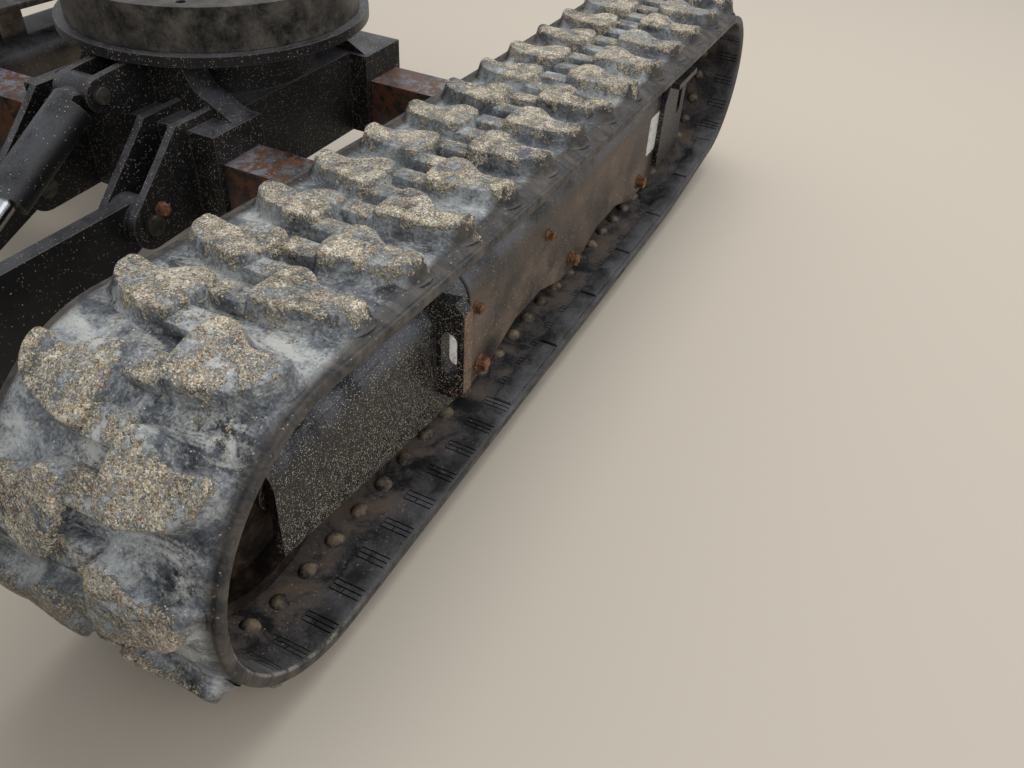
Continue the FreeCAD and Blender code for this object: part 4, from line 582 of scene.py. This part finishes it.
# Welded frames. Cut steel plate, welded and painted black. The paint is dull with dust and stuck
# sand, rusty where hooks and slides have rubbed it off, and bright along the worn edges.
def paint(name, dust, dust_colour, grains, rust, film, zones=None):
    """Black enamel on steel plate with dust, stuck sand, rust, and a pale blue-grey film on up-facing faces that is
    partly dust and partly a painted sky reflection, from 0 to 1 or by zone.
    """
    material, tree = new_material(name)
    coordinates = add_node(tree, "ShaderNodeTexCoord")
    place, facing = coordinates.outputs["Object"], coordinates.outputs["Normal"]
    if zones:
        dust, grains, rust = zones(tree, add_node(tree, "ShaderNodeSeparateXYZ", {0: place}).outputs)
    up = add_node(tree, "ShaderNodeSeparateXYZ", {0: facing}).outputs["Z"]
    broad = add_node(tree, "ShaderNodeTexNoise", {"Vector": place, "Scale": 11, "Detail": 8, "Roughness": 0.65})
    cloudy = add_node(tree, "ShaderNodeTexNoise", {"Vector": place, "Scale": 60, "Detail": 6, "Roughness": 0.7})
    powder = add_node(tree, "ShaderNodeTexNoise", {"Vector": place, "Scale": 480, "Detail": 3, "Roughness": 0.7})
    uneven = add_node(tree, "ShaderNodeMath", {0: powder.outputs[0], 1: 0.45, 2: broad.outputs[0]},
                      operation="MULTIPLY_ADD")
    up_share = add_node(tree, "ShaderNodeMapRange", {0: up, 1: -0.3, 2: 1.0, 3: 0.45, 4: 1.0})
    dust_map = add_node(tree, "ShaderNodeMapRange", {0: uneven.outputs[0], 1: 0.58, 2: 0.90, 3: 0.1, 4: 1.2})
    dust_up = add_node(tree, "ShaderNodeMath", {0: dust_map.outputs[0], 1: up_share.outputs[0]}, operation="MULTIPLY")
    dust_share = add_node(tree, "ShaderNodeMath", {0: dust_up.outputs[0], 1: dust}, operation="MULTIPLY",
                          use_clamp=True)
    dusty = add_node(tree, "ShaderNodeMix", {0: dust_share.outputs[0], 6: linear("#121316"),
                                             7: linear(dust_colour)}, data_type="RGBA")
    # Painted reflection: up-facing faces get a pale blue-grey tone for the sky reflected in the wet paint, over a thin
    # dust film.
    film_and_reflection_up = add_node(tree, "ShaderNodeMapRange", {0: up, 1: 0.1, 2: 0.8, 3: 0.0, 4: film})
    film_and_reflection_map = add_node(tree, "ShaderNodeMapRange", {0: uneven.outputs[0], 1: 0.60, 2: 0.80})
    film_share = add_node(tree, "ShaderNodeMath", {0: film_and_reflection_up.outputs[0], 1: film_and_reflection_map.outputs[0]}, operation="MULTIPLY")
    film_and_reflection = add_node(tree, "ShaderNodeMix", {0: film_share.outputs[0], 6: dusty.outputs[2], 7: linear("#84868f")},
                      data_type="RGBA")
    rust_level = add_node(tree, "ShaderNodeMath", {0: rust, 1: 0.3, 2: cloudy.outputs[0]}, operation="MULTIPLY_ADD")
    rust_map = add_node(tree, "ShaderNodeMapRange", {0: rust_level.outputs[0], 1: 0.68, 2: 0.76})
    rust_tone = add_node(tree, "ShaderNodeMix", {0: powder.outputs[0], 6: linear("#3b2519"), 7: linear("#845b43")},
                         data_type="RGBA")
    rusty = add_node(tree, "ShaderNodeMix", {0: rust_map.outputs[0], 6: film_and_reflection.outputs[2], 7: rust_tone.outputs[2]},
                     data_type="RGBA")

    # Sand grains of about 1 mm, each a dot in its own cell, most of them dull.
    cells = add_node(tree, "ShaderNodeTexVoronoi", {"Vector": place, "Scale": 1 / 0.00145, "Randomness": 1.0})
    chance = add_node(tree, "ShaderNodeSeparateColor", {0: cells.outputs["Color"]})
    near = add_node(tree, "ShaderNodeMapRange", {0: cells.outputs["Distance"], 1: 0.38, 2: 0.48, 3: 1.0, 4: 0.0})
    spread = add_node(tree, "ShaderNodeMapRange", {0: cloudy.outputs[0], 1: 0.35, 2: 0.65, 3: 0.35, 4: 1.0})
    limit = add_node(tree, "ShaderNodeMath", {0: spread.outputs[0], 1: grains}, operation="MULTIPLY")
    stuck = add_node(tree, "ShaderNodeMath", {0: chance.outputs[0], 1: limit.outputs[0]}, operation="LESS_THAN")
    speck = add_node(tree, "ShaderNodeMath", {0: stuck.outputs[0], 1: near.outputs[0]}, operation="MULTIPLY")
    dull = add_node(tree, "ShaderNodeMath", {0: chance.outputs[1], 1: 1.2}, operation="POWER")
    speck_colour = add_node(tree, "ShaderNodeMix", {0: dull.outputs[0], 6: linear("#81775f"),
                                                    7: linear("#fff6e2")}, data_type="RGBA")
    specked = add_node(tree, "ShaderNodeMix", {0: speck.outputs[0], 6: rusty.outputs[2], 7: speck_colour.outputs[2]},
                       data_type="RGBA")

    # The paint wears off along the edges, which are rounded by about 1 mm.
    soft = add_node(tree, "ShaderNodeBevel", {"Radius": 0.0016}, samples=4)
    true = add_node(tree, "ShaderNodeNewGeometry")
    turned_by = add_node(tree, "ShaderNodeVectorMath", {0: soft.outputs[0], 1: true.outputs["Normal"]},
                         operation="DOT_PRODUCT")
    worn_level = add_node(tree, "ShaderNodeMath", {0: cloudy.outputs[0], 1: 0.3, 2: turned_by.outputs["Value"]},
                          operation="MULTIPLY_ADD")
    worn = add_node(tree, "ShaderNodeMapRange", {0: worn_level.outputs[0], 1: 1.10, 2: 1.02})
    colour = add_node(tree, "ShaderNodeMix", {0: worn.outputs[0], 6: specked.outputs[2], 7: linear("#7a6a5c")},
                      data_type="RGBA")
    gloss = add_node(tree, "ShaderNodeMapRange", {0: dust_share.outputs[0], 1: 0.0, 2: 0.7, 3: 0.33, 4: 0.7})
    speck_gloss = add_node(tree, "ShaderNodeMix", {0: speck.outputs[0], 2: gloss.outputs[0], 3: 0.9}, data_type="FLOAT")
    relief = add_node(tree, "ShaderNodeMath", {0: uneven.outputs[0], 1: 0.5, 2: speck.outputs[0]},
                      operation="MULTIPLY_ADD")
    bump = add_node(tree, "ShaderNodeBump", {"Height": relief.outputs[0], "Distance": 0.0007, "Strength": 0.8,
                                             "Normal": soft.outputs[0]})
    shader = add_node(tree, "ShaderNodeBsdfPrincipled", {"Base Color": colour.outputs[2],
                                                         "Roughness": speck_gloss.outputs[0],
                                                         "Normal": bump.outputs[0]})
    add_node(tree, "ShaderNodeOutputMaterial", {"Surface": shader.outputs[0]})
    return material


def dress(material, *names):
    """Gives CAD nodes their finish."""
    for name in names:
        for place in nodes[name].material_slots:
            place.material = material


SEAM = idler_x - 0.378          # where the fork plates meet the box
FRAME_HALF = 0.075              # half the width of a side frame
BEND = 0.038                    # radius of its upper edges
FRAME_TOP = 0.258


def frame_zones(tree, axes):
    """Black with sand low down on the fork plates, brown dust on the box, bare rust on the beams."""
    fork = add_node(tree, "ShaderNodeMapRange", {0: axes["X"], 1: SEAM - 0.002, 2: SEAM + 0.002})
    dust = add_node(tree, "ShaderNodeMapRange", {0: fork.outputs[0], 3: 1.15, 4: 0.0})
    bend = add_node(tree, "ShaderNodeMapRange", {0: axes["Z"], 1: 0.205, 2: 0.235, 3: 1.0, 4: 0.3})
    dust = add_node(tree, "ShaderNodeMath", {0: dust.outputs[0], 1: bend.outputs[0]}, operation="MULTIPLY")
    low = add_node(tree, "ShaderNodeMapRange", {0: axes["Z"], 1: 0.23, 2: 0.13, 3: 0.45, 4: 1.0})
    some = add_node(tree, "ShaderNodeMath", {0: fork.outputs[0], 1: 0.74, 2: 0.1}, operation="MULTIPLY_ADD")
    grains = add_node(tree, "ShaderNodeMath", {0: low.outputs[0], 1: some.outputs[0]}, operation="MULTIPLY")
    y = add_node(tree, "ShaderNodeMath", {0: axes["Y"]}, operation="ABSOLUTE")
    rust = add_node(tree, "ShaderNodeMapRange", {0: y.outputs[0], 1: 0.45, 2: 0.40, 3: 0.1, 4: 0.75})
    return dust.outputs[0], grains.outputs[0], rust.outputs[0]


def bracket_zones(tree, axes):
    """Rust on the outer edge, where hooks rub, and a little at the foot."""
    y = add_node(tree, "ShaderNodeMath", {0: axes["Y"]}, operation="ABSOLUTE")
    rub = add_node(tree, "ShaderNodeMapRange", {0: y.outputs[0], 1: belt_y + 0.1155, 2: belt_y + 0.1168, 3: 0.12, 4: 1.0})
    foot = add_node(tree, "ShaderNodeMapRange", {0: axes["Z"], 1: 0.175, 2: 0.130, 3: 0.0, 4: 0.45})
    rust = add_node(tree, "ShaderNodeMath", {0: rub.outputs[0], 1: foot.outputs[0]}, operation="MAXIMUM")
    return 0.2, 0.3, rust.outputs[0]


def blade_zones(tree, axes):
    """Dried mud low down on the blade, thinner above."""
    dust = add_node(tree, "ShaderNodeMapRange", {0: axes["Z"], 1: 0.28, 2: 0.03, 3: 0.25, 4: 1.3})
    return dust.outputs[0], 0.25, 0.3


# The side frame's upper faces get the strongest painted sky reflection.
frame_paint = paint("black_enamel_side_frame", 0, "#8a7767", 0, 0, 0.9, frame_zones)
bracket_paint = paint("black_enamel_bracket", 0, "#4a463f", 0, 0, 0.2, bracket_zones)
blade_paint = paint("black_enamel_blade", 0, "#75664f", 0, 0, 0.3, blade_zones)
sandy_paint = paint("black_enamel_sandy", 0.3, "#57504a", 0.12, 0.1, 0.35)
clean_paint = paint("black_enamel", 0.25, "#4f4b45", 0.04, 0.02, 0.25)
for label in ("left", "right"):
    dress(frame_paint, label + "_side_frame")
    dress(sandy_paint, label + "_rear_guard")
    dress(bracket_paint, label + "_tie_down_bracket")
    dress(blade_paint, label + "_blade_wing")
    dress(sandy_paint, label + "_idler_yoke")
    dress(clean_paint, label + "_travel_motor")
dress(sandy_paint, "centre_frame")
dress(blade_paint, "blade_plate")
dress(clean_paint, "blade_frame", "gauge_cylinder_barrel", "blade_cylinder_barrel")


# Fork edges. The side frame's rounded upper edges carry on over the fork beside the front wheel.
# They are bent from the same plate and welded to it, and leave the wheel free between them.
def duplicate(obj, name, points, flip=False):
    """Copies a mesh under a new name, with its own points, turned outwards again where it is mirrored."""
    alone(obj)
    bpy.ops.object.duplicate()
    copy = bpy.context.object
    copy.name = copy.data.name = name
    set_points(copy, points)
    if flip:
        bpy.ops.object.mode_set(mode="EDIT")
        bpy.ops.mesh.select_all(action="SELECT")
        bpy.ops.mesh.flip_normals()
        bpy.ops.object.mode_set(mode="OBJECT")
    return copy


bend_y, bend_z = FRAME_HALF - BEND, FRAME_TOP - BEND
bpy.ops.object.select_all(action="DESELECT")
bpy.ops.mesh.primitive_plane_add(size=1)
fork_edge = bpy.context.object
start = math.radians(40)
fork_back, fork_front = idler_x - 0.187, idler_x + 0.018
corners = [(x, bend_y + r * math.cos(start), bend_z + r * math.sin(start))
           for r, x in ((BEND, fork_back), (BEND, fork_front), (BEND - 0.006, fork_back), (BEND - 0.006, fork_front))]
set_points(fork_edge, corners)
pick(fork_edge, lambda face: True)
bpy.ops.mesh.spin(steps=6, angle=-math.radians(33), center=(0, bend_y, bend_z), axis=(1, 0, 0))
bpy.ops.object.mode_set(mode="OBJECT")
clean(fork_edge)
apply_modifier(fork_edge, "edges", "BEVEL", width=0.0008, segments=2, limit_method="ANGLE", angle_limit=0.7)
bpy.ops.object.shade_smooth_by_angle(angle=math.radians(30))
for side, label in ((1, "left"), (-1, "right")):
    for face, place in ((1, "outer"), (-1, "inner")):
        flat_points = points_of(fork_edge) * (1, side * face, 1) + (0, side * belt_y, 0)
        made = duplicate(fork_edge, label + "_fork_edge_" + place, flat_points, side * face < 0)
        made.data.materials.append(frame_paint)
        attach(made, label + "_track")
bpy.data.objects.remove(fork_edge)


# Weld seams. Beads of about 6 mm, laid by hand along the joints and painted over.
def weld(name, runs, body, width=0.006):
    """Beads along lines of points, rippled every 3 mm."""
    curve = bpy.data.curves.new(name, "CURVE")
    curve.dimensions = "3D"
    curve.bevel_depth = width / 2
    curve.bevel_resolution = 1
    curve.use_fill_caps = True
    for run in runs:
        places = [Vector(run[0])]
        for near, far in zip(run, run[1:]):
            near, far = Vector(near), Vector(far)
            steps = max(1, round((far - near).length / 0.003))
            places += [near.lerp(far, k / steps) for k in range(1, steps + 1)]
        spline = curve.splines.new("POLY")
        spline.points.add(len(places) - 1)
        for k, (point, place) in enumerate(zip(spline.points, places)):
            point.co = (*place, 1)
            point.radius = 1.0 if k % 2 else 0.8
    bead = bpy.data.objects.new(name, curve)
    bpy.context.scene.collection.objects.link(bead)
    alone(bead)
    bpy.ops.object.convert(target="MESH")
    bead = bpy.context.object
    bpy.ops.object.shade_smooth_by_angle(angle=math.radians(60))
    bead.data.materials.clear()
    bead.data.materials.append(sandy_paint)
    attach(bead, body)


slew_x = -0.13625
arc = [(bend_y + BEND * math.cos(a), bend_z + BEND * math.sin(a)) for a in np.linspace(0, math.pi / 2, 8)]
for side, label in ((1, "left"), (-1, "right")):
    over = [(FRAME_HALF, 0.099)] + arc
    section_line = over + [(-y, z) for y, z in reversed(over)]
    runs = [[(SEAM, side * belt_y + y, z) for y, z in section_line]]
    for x in (idler_x - 0.290, idler_x - 0.310):
        runs.append([(x, side * (belt_y + FRAME_HALF), 0.128), (x, side * (belt_y + FRAME_HALF), 0.216)])
    for middle in (slew_x + 0.19, slew_x - 0.19):
        up_side = [(y, z) for y, z in reversed(arc)] + [(FRAME_HALF, 0.194)]
        near_run = [(middle + 0.0405, side * (belt_y - y), z) for y, z in up_side]
        far_run = [(middle - 0.0405, side * (belt_y - y), z) for y, z in reversed(up_side)]
        runs.append(near_run + far_run)
    weld(label + "_frame_welds", runs, label + "_track")
ring = [(slew_x + 0.149 * math.cos(a), 0.149 * math.sin(a), 0.3935) for a in np.linspace(0, 2 * math.pi, 61)]
cross = [(0.42375 + x, z) for x, z in ((0.0305, 0.1095), (0.0305, 0.1705), (-0.0305, 0.1705), (-0.0305, 0.1095), (0.0305, 0.1095))]
weld("deck_weld", [ring], "chassis")
weld("blade_frame_welds", [[(x, y, z) for x, z in cross] for y in (0.0915, -0.0915)], "blade")


# Bolts. Hexagon heads of zinc-plated steel with washers, gone brown with rust on the outside
# of the machine. The roller axles' bolts are 19 mm across the flats.
def stained_steel(name, colours, metallic, roughness, scale):
    """Bare or plated steel with stains, from the darkest colour to the lightest."""
    material, tree = new_material(name)
    place = add_node(tree, "ShaderNodeTexCoord").outputs["Object"]
    stain = add_node(tree, "ShaderNodeTexNoise", {"Vector": place, "Scale": scale, "Detail": 7, "Roughness": 0.7})
    fine = add_node(tree, "ShaderNodeTexNoise", {"Vector": place, "Scale": scale * 9, "Detail": 3, "Roughness": 0.7})
    mixed = add_node(tree, "ShaderNodeMath", {0: fine.outputs[0], 1: 0.35, 2: stain.outputs[0]},
                     operation="MULTIPLY_ADD")
    tone = add_node(tree, "ShaderNodeValToRGB", {0: mixed.outputs[0]})
    tone.color_ramp.elements[0].position, tone.color_ramp.elements[0].color = 0.52, linear(colours[0])
    tone.color_ramp.elements[1].position, tone.color_ramp.elements[1].color = 0.84, linear(colours[-1])
    for k, colour in enumerate(colours[1:-1]):
        tone.color_ramp.elements.new(0.52 + 0.32 * (k + 1) / (len(colours) - 1)).color = linear(colour)
    gloss = add_node(tree, "ShaderNodeMapRange", {0: mixed.outputs[0], 1: 0.5, 2: 0.85, 3: roughness,
                                                  4: roughness + 0.22})
    soft = add_node(tree, "ShaderNodeBevel", {"Radius": 0.0012}, samples=4)
    bump = add_node(tree, "ShaderNodeBump", {"Height": mixed.outputs[0], "Distance": 0.0008, "Strength": 0.6,
                                             "Normal": soft.outputs[0]})
    shader = add_node(tree, "ShaderNodeBsdfPrincipled", {"Base Color": tone.outputs[0], "Metallic": metallic,
                                                         "Roughness": gloss.outputs[0], "Normal": bump.outputs[0]})
    add_node(tree, "ShaderNodeOutputMaterial", {"Surface": shader.outputs[0]})
    return material


rusty_zinc = stained_steel("zinc_plate_rusted", ("#3d2a20", "#7d5236", "#b08a68"), 0.25, 0.6, 120)
bright_zinc = stained_steel("zinc_plate_dull", ("#5b5752", "#8d8880", "#a9a49a"), 0.8, 0.35, 120)

bpy.ops.object.select_all(action="DESELECT")
bpy.ops.mesh.primitive_cylinder_add(vertices=6, radius=0.5774, depth=0.6, location=(0, 0, 0))
head = bpy.context.object
set_points(head, points_of(head) + (0, 0, 0.42))
pick(head, lambda face: face.normal.z > 0.9)
bpy.ops.mesh.inset(thickness=0.07, depth=0.05)
bpy.ops.mesh.inset(thickness=0.1, depth=0)
bpy.ops.object.mode_set(mode="OBJECT")
bpy.ops.object.select_all(action="DESELECT")
bpy.ops.mesh.primitive_cylinder_add(vertices=16, radius=0.68, depth=0.12, location=(0, 0, 0))
washer = bpy.context.object
set_points(washer, points_of(washer) + (0, 0, 0.06))
pick(washer, lambda face: face.normal.z > 0.9)
bpy.ops.mesh.inset(thickness=0.05, depth=0.02)
bpy.ops.object.mode_set(mode="OBJECT")
bolt = joined([head, washer], "bolt")


def bolts(name, size, places, outwards, body, material=None, lower=1.0):
    """Copies of the bolt, this wide over its flats, at the places, each turned a little further."""
    turned_out = Vector(outwards).to_track_quat("Z", "Y").to_matrix()
    made = []
    for k, place in enumerate(places):
        spun = np.array(turned_out @ Matrix.Rotation(0.7 * k + 0.2, 3, "Z"))
        made.append(duplicate(bolt, name, (points_of(bolt) * (size, size, size * lower)) @ spun.T + place))
    whole = joined(made, name)
    alone(whole)
    bpy.ops.object.shade_smooth_by_angle(angle=math.radians(28))
    whole.data.materials.clear()
    whole.data.materials.append(material or rusty_zinc)
    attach(whole, body)


for side, label in ((1, "left"), (-1, "right")):
    for face, place in ((1, "outer"), (-1, "inner")):
        y = side * (belt_y + face * FRAME_HALF)
        bolts(label + "_axle_bolts_" + place, 0.019, [(idler_x - x, y, 0.0945) for x in (0.41, 0.73, 1.05)],
              (0, side * face, 0), label + "_track")
    y = side * (belt_y + FRAME_HALF)
    bolts(label + "_cover_bolts", 0.014, [(idler_x - 0.397, y, 0.196), (idler_x - 0.627, y, 0.190)], (0, side, 0),
          label + "_track")
    cap_y = side * (belt_y + 0.054)
    cap = [(sprocket_x + 0.05 * math.cos(a), cap_y, 0.200 + 0.05 * math.sin(a)) for a in (0.3, 2.4, 4.5)]
    bolts(label + "_drive_cover_bolts", 0.010, cap, (0, side, 0), label + "_track", bright_zinc)
    foot_y = side * 0.453
    bolts(label + "_gauge_foot_bolts", 0.013, [(slew_x + x, foot_y, z) for x in (0.033, -0.033) for z in (0.125, 0.182)],
          (0, -side, 0), label + "_track")
    bolts(label + "_keeper_bolt", 0.016, [(0.2007 - 0.018, side * 0.1395, 0.215 + 0.018)], (0, side, 0), "chassis")
    bolts(label + "_wing_nuts", 0.019, [(0.939, side * y, 0.055) for y in (0.6, 0.65)], (-1, 0, 0), "blade")
race = [(slew_x + 0.165 * math.cos(a), 0.165 * math.sin(a), 0.462) for a in np.arange(16) * math.pi / 8]
bolts("race_bolts", 0.014, race, (0, 0, 1), "chassis", bright_zinc, lower=0.8)
bpy.data.objects.remove(bolt)


# Blank plates. Thin white film labels with rounded corners, stuck on the side frame beside the
# bracket and near its rear end. They are bare, and scuffed with brown dust in patches.
def blank_plate(name, x, z, width, tall, side, label):
    bpy.ops.object.select_all(action="DESELECT")
    bpy.ops.mesh.primitive_cube_add(size=1, location=(0, 0, 0))
    film = bpy.context.object
    y = side * (belt_y + FRAME_HALF + 0.0003)
    set_points(film, points_of(film) * (width, 0.0006, tall) + (x, y, z))
    pick(film, lambda edge: abs(points_of(film)[edge.vertices[0]][1] - points_of(film)[edge.vertices[1]][1]) > 0.0001,
         "edges")
    bpy.ops.mesh.bevel(offset=0.006, segments=4)
    bpy.ops.object.mode_set(mode="OBJECT")
    film.name = film.data.name = name
    film.data.materials.clear()
    film.data.materials.append(label_film)
    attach(film, label + "_track")


label_film, tree = new_material("white_label_film")
place = add_node(tree, "ShaderNodeTexCoord").outputs["Object"]
scuff = add_node(tree, "ShaderNodeTexNoise", {"Vector": place, "Scale": 90, "Detail": 7, "Roughness": 0.75})
scuffed = add_node(tree, "ShaderNodeValToRGB", {0: scuff.outputs[0]})
scuffed.color_ramp.elements[0].position, scuffed.color_ramp.elements[0].color = 0.32, linear("#8d857a")
scuffed.color_ramp.elements[1].position, scuffed.color_ramp.elements[1].color = 0.5, linear("#e3e2de")
shader = add_node(tree, "ShaderNodeBsdfPrincipled", {"Base Color": scuffed.outputs[0], "Roughness": 0.45})
add_node(tree, "ShaderNodeOutputMaterial", {"Surface": shader.outputs[0]})
for side, label in ((1, "left"), (-1, "right")):
    blank_plate(label + "_bracket_label", idler_x - 0.334, 0.172, 0.044, 0.074, side, label)
    blank_plate(label + "_rear_label", idler_x - 1.10, 0.172, 0.050, 0.075, side, label)


# Running gear and pins. Cast and forged steel, hardened where it runs, brown with wet rust
# elsewhere and rubbed bright on the treads.
cast_steel = stained_steel("cast_steel_rusty", ("#15120f", "#2d241d", "#5a4636"), 0.3, 0.5, 40)
worn_steel = stained_steel("hard_steel_worn", ("#4c433b", "#7c746b", "#9a938b"), 0.75, 0.32, 30)
machined_steel = stained_steel("machined_steel_oiled", ("#4a4641", "#8a857c"), 0.9, 0.3, 80)
ring_steel = stained_steel("ring_steel_greased", ("#3a3835", "#5f5b55", "#7d776e"), 0.8, 0.35, 40)
chrome = stained_steel("hard_chrome", ("#c4c6c8", "#dcdddf"), 1.0, 0.08, 20)
for label in ("left", "right"):
    dress(cast_steel, label + "_idler", label + "_sprocket")
    dress(cast_steel, *[label + "_roller_" + p for p in ("front", "middle", "rear")])
    dress(worn_steel, label + "_top_roller")
    dress(machined_steel, label + "_pivot_pin")
dress(machined_steel, "cylinder_front_pin", "cylinder_rear_pin")
dress(ring_steel, "slewing_ring_inner", "slewing_ring_outer")
dress(worn_steel, "cutting_edge")
dress(cast_steel, "swivel_joint")
dress(chrome, "blade_cylinder_rod", "gauge_cylinder_rod")
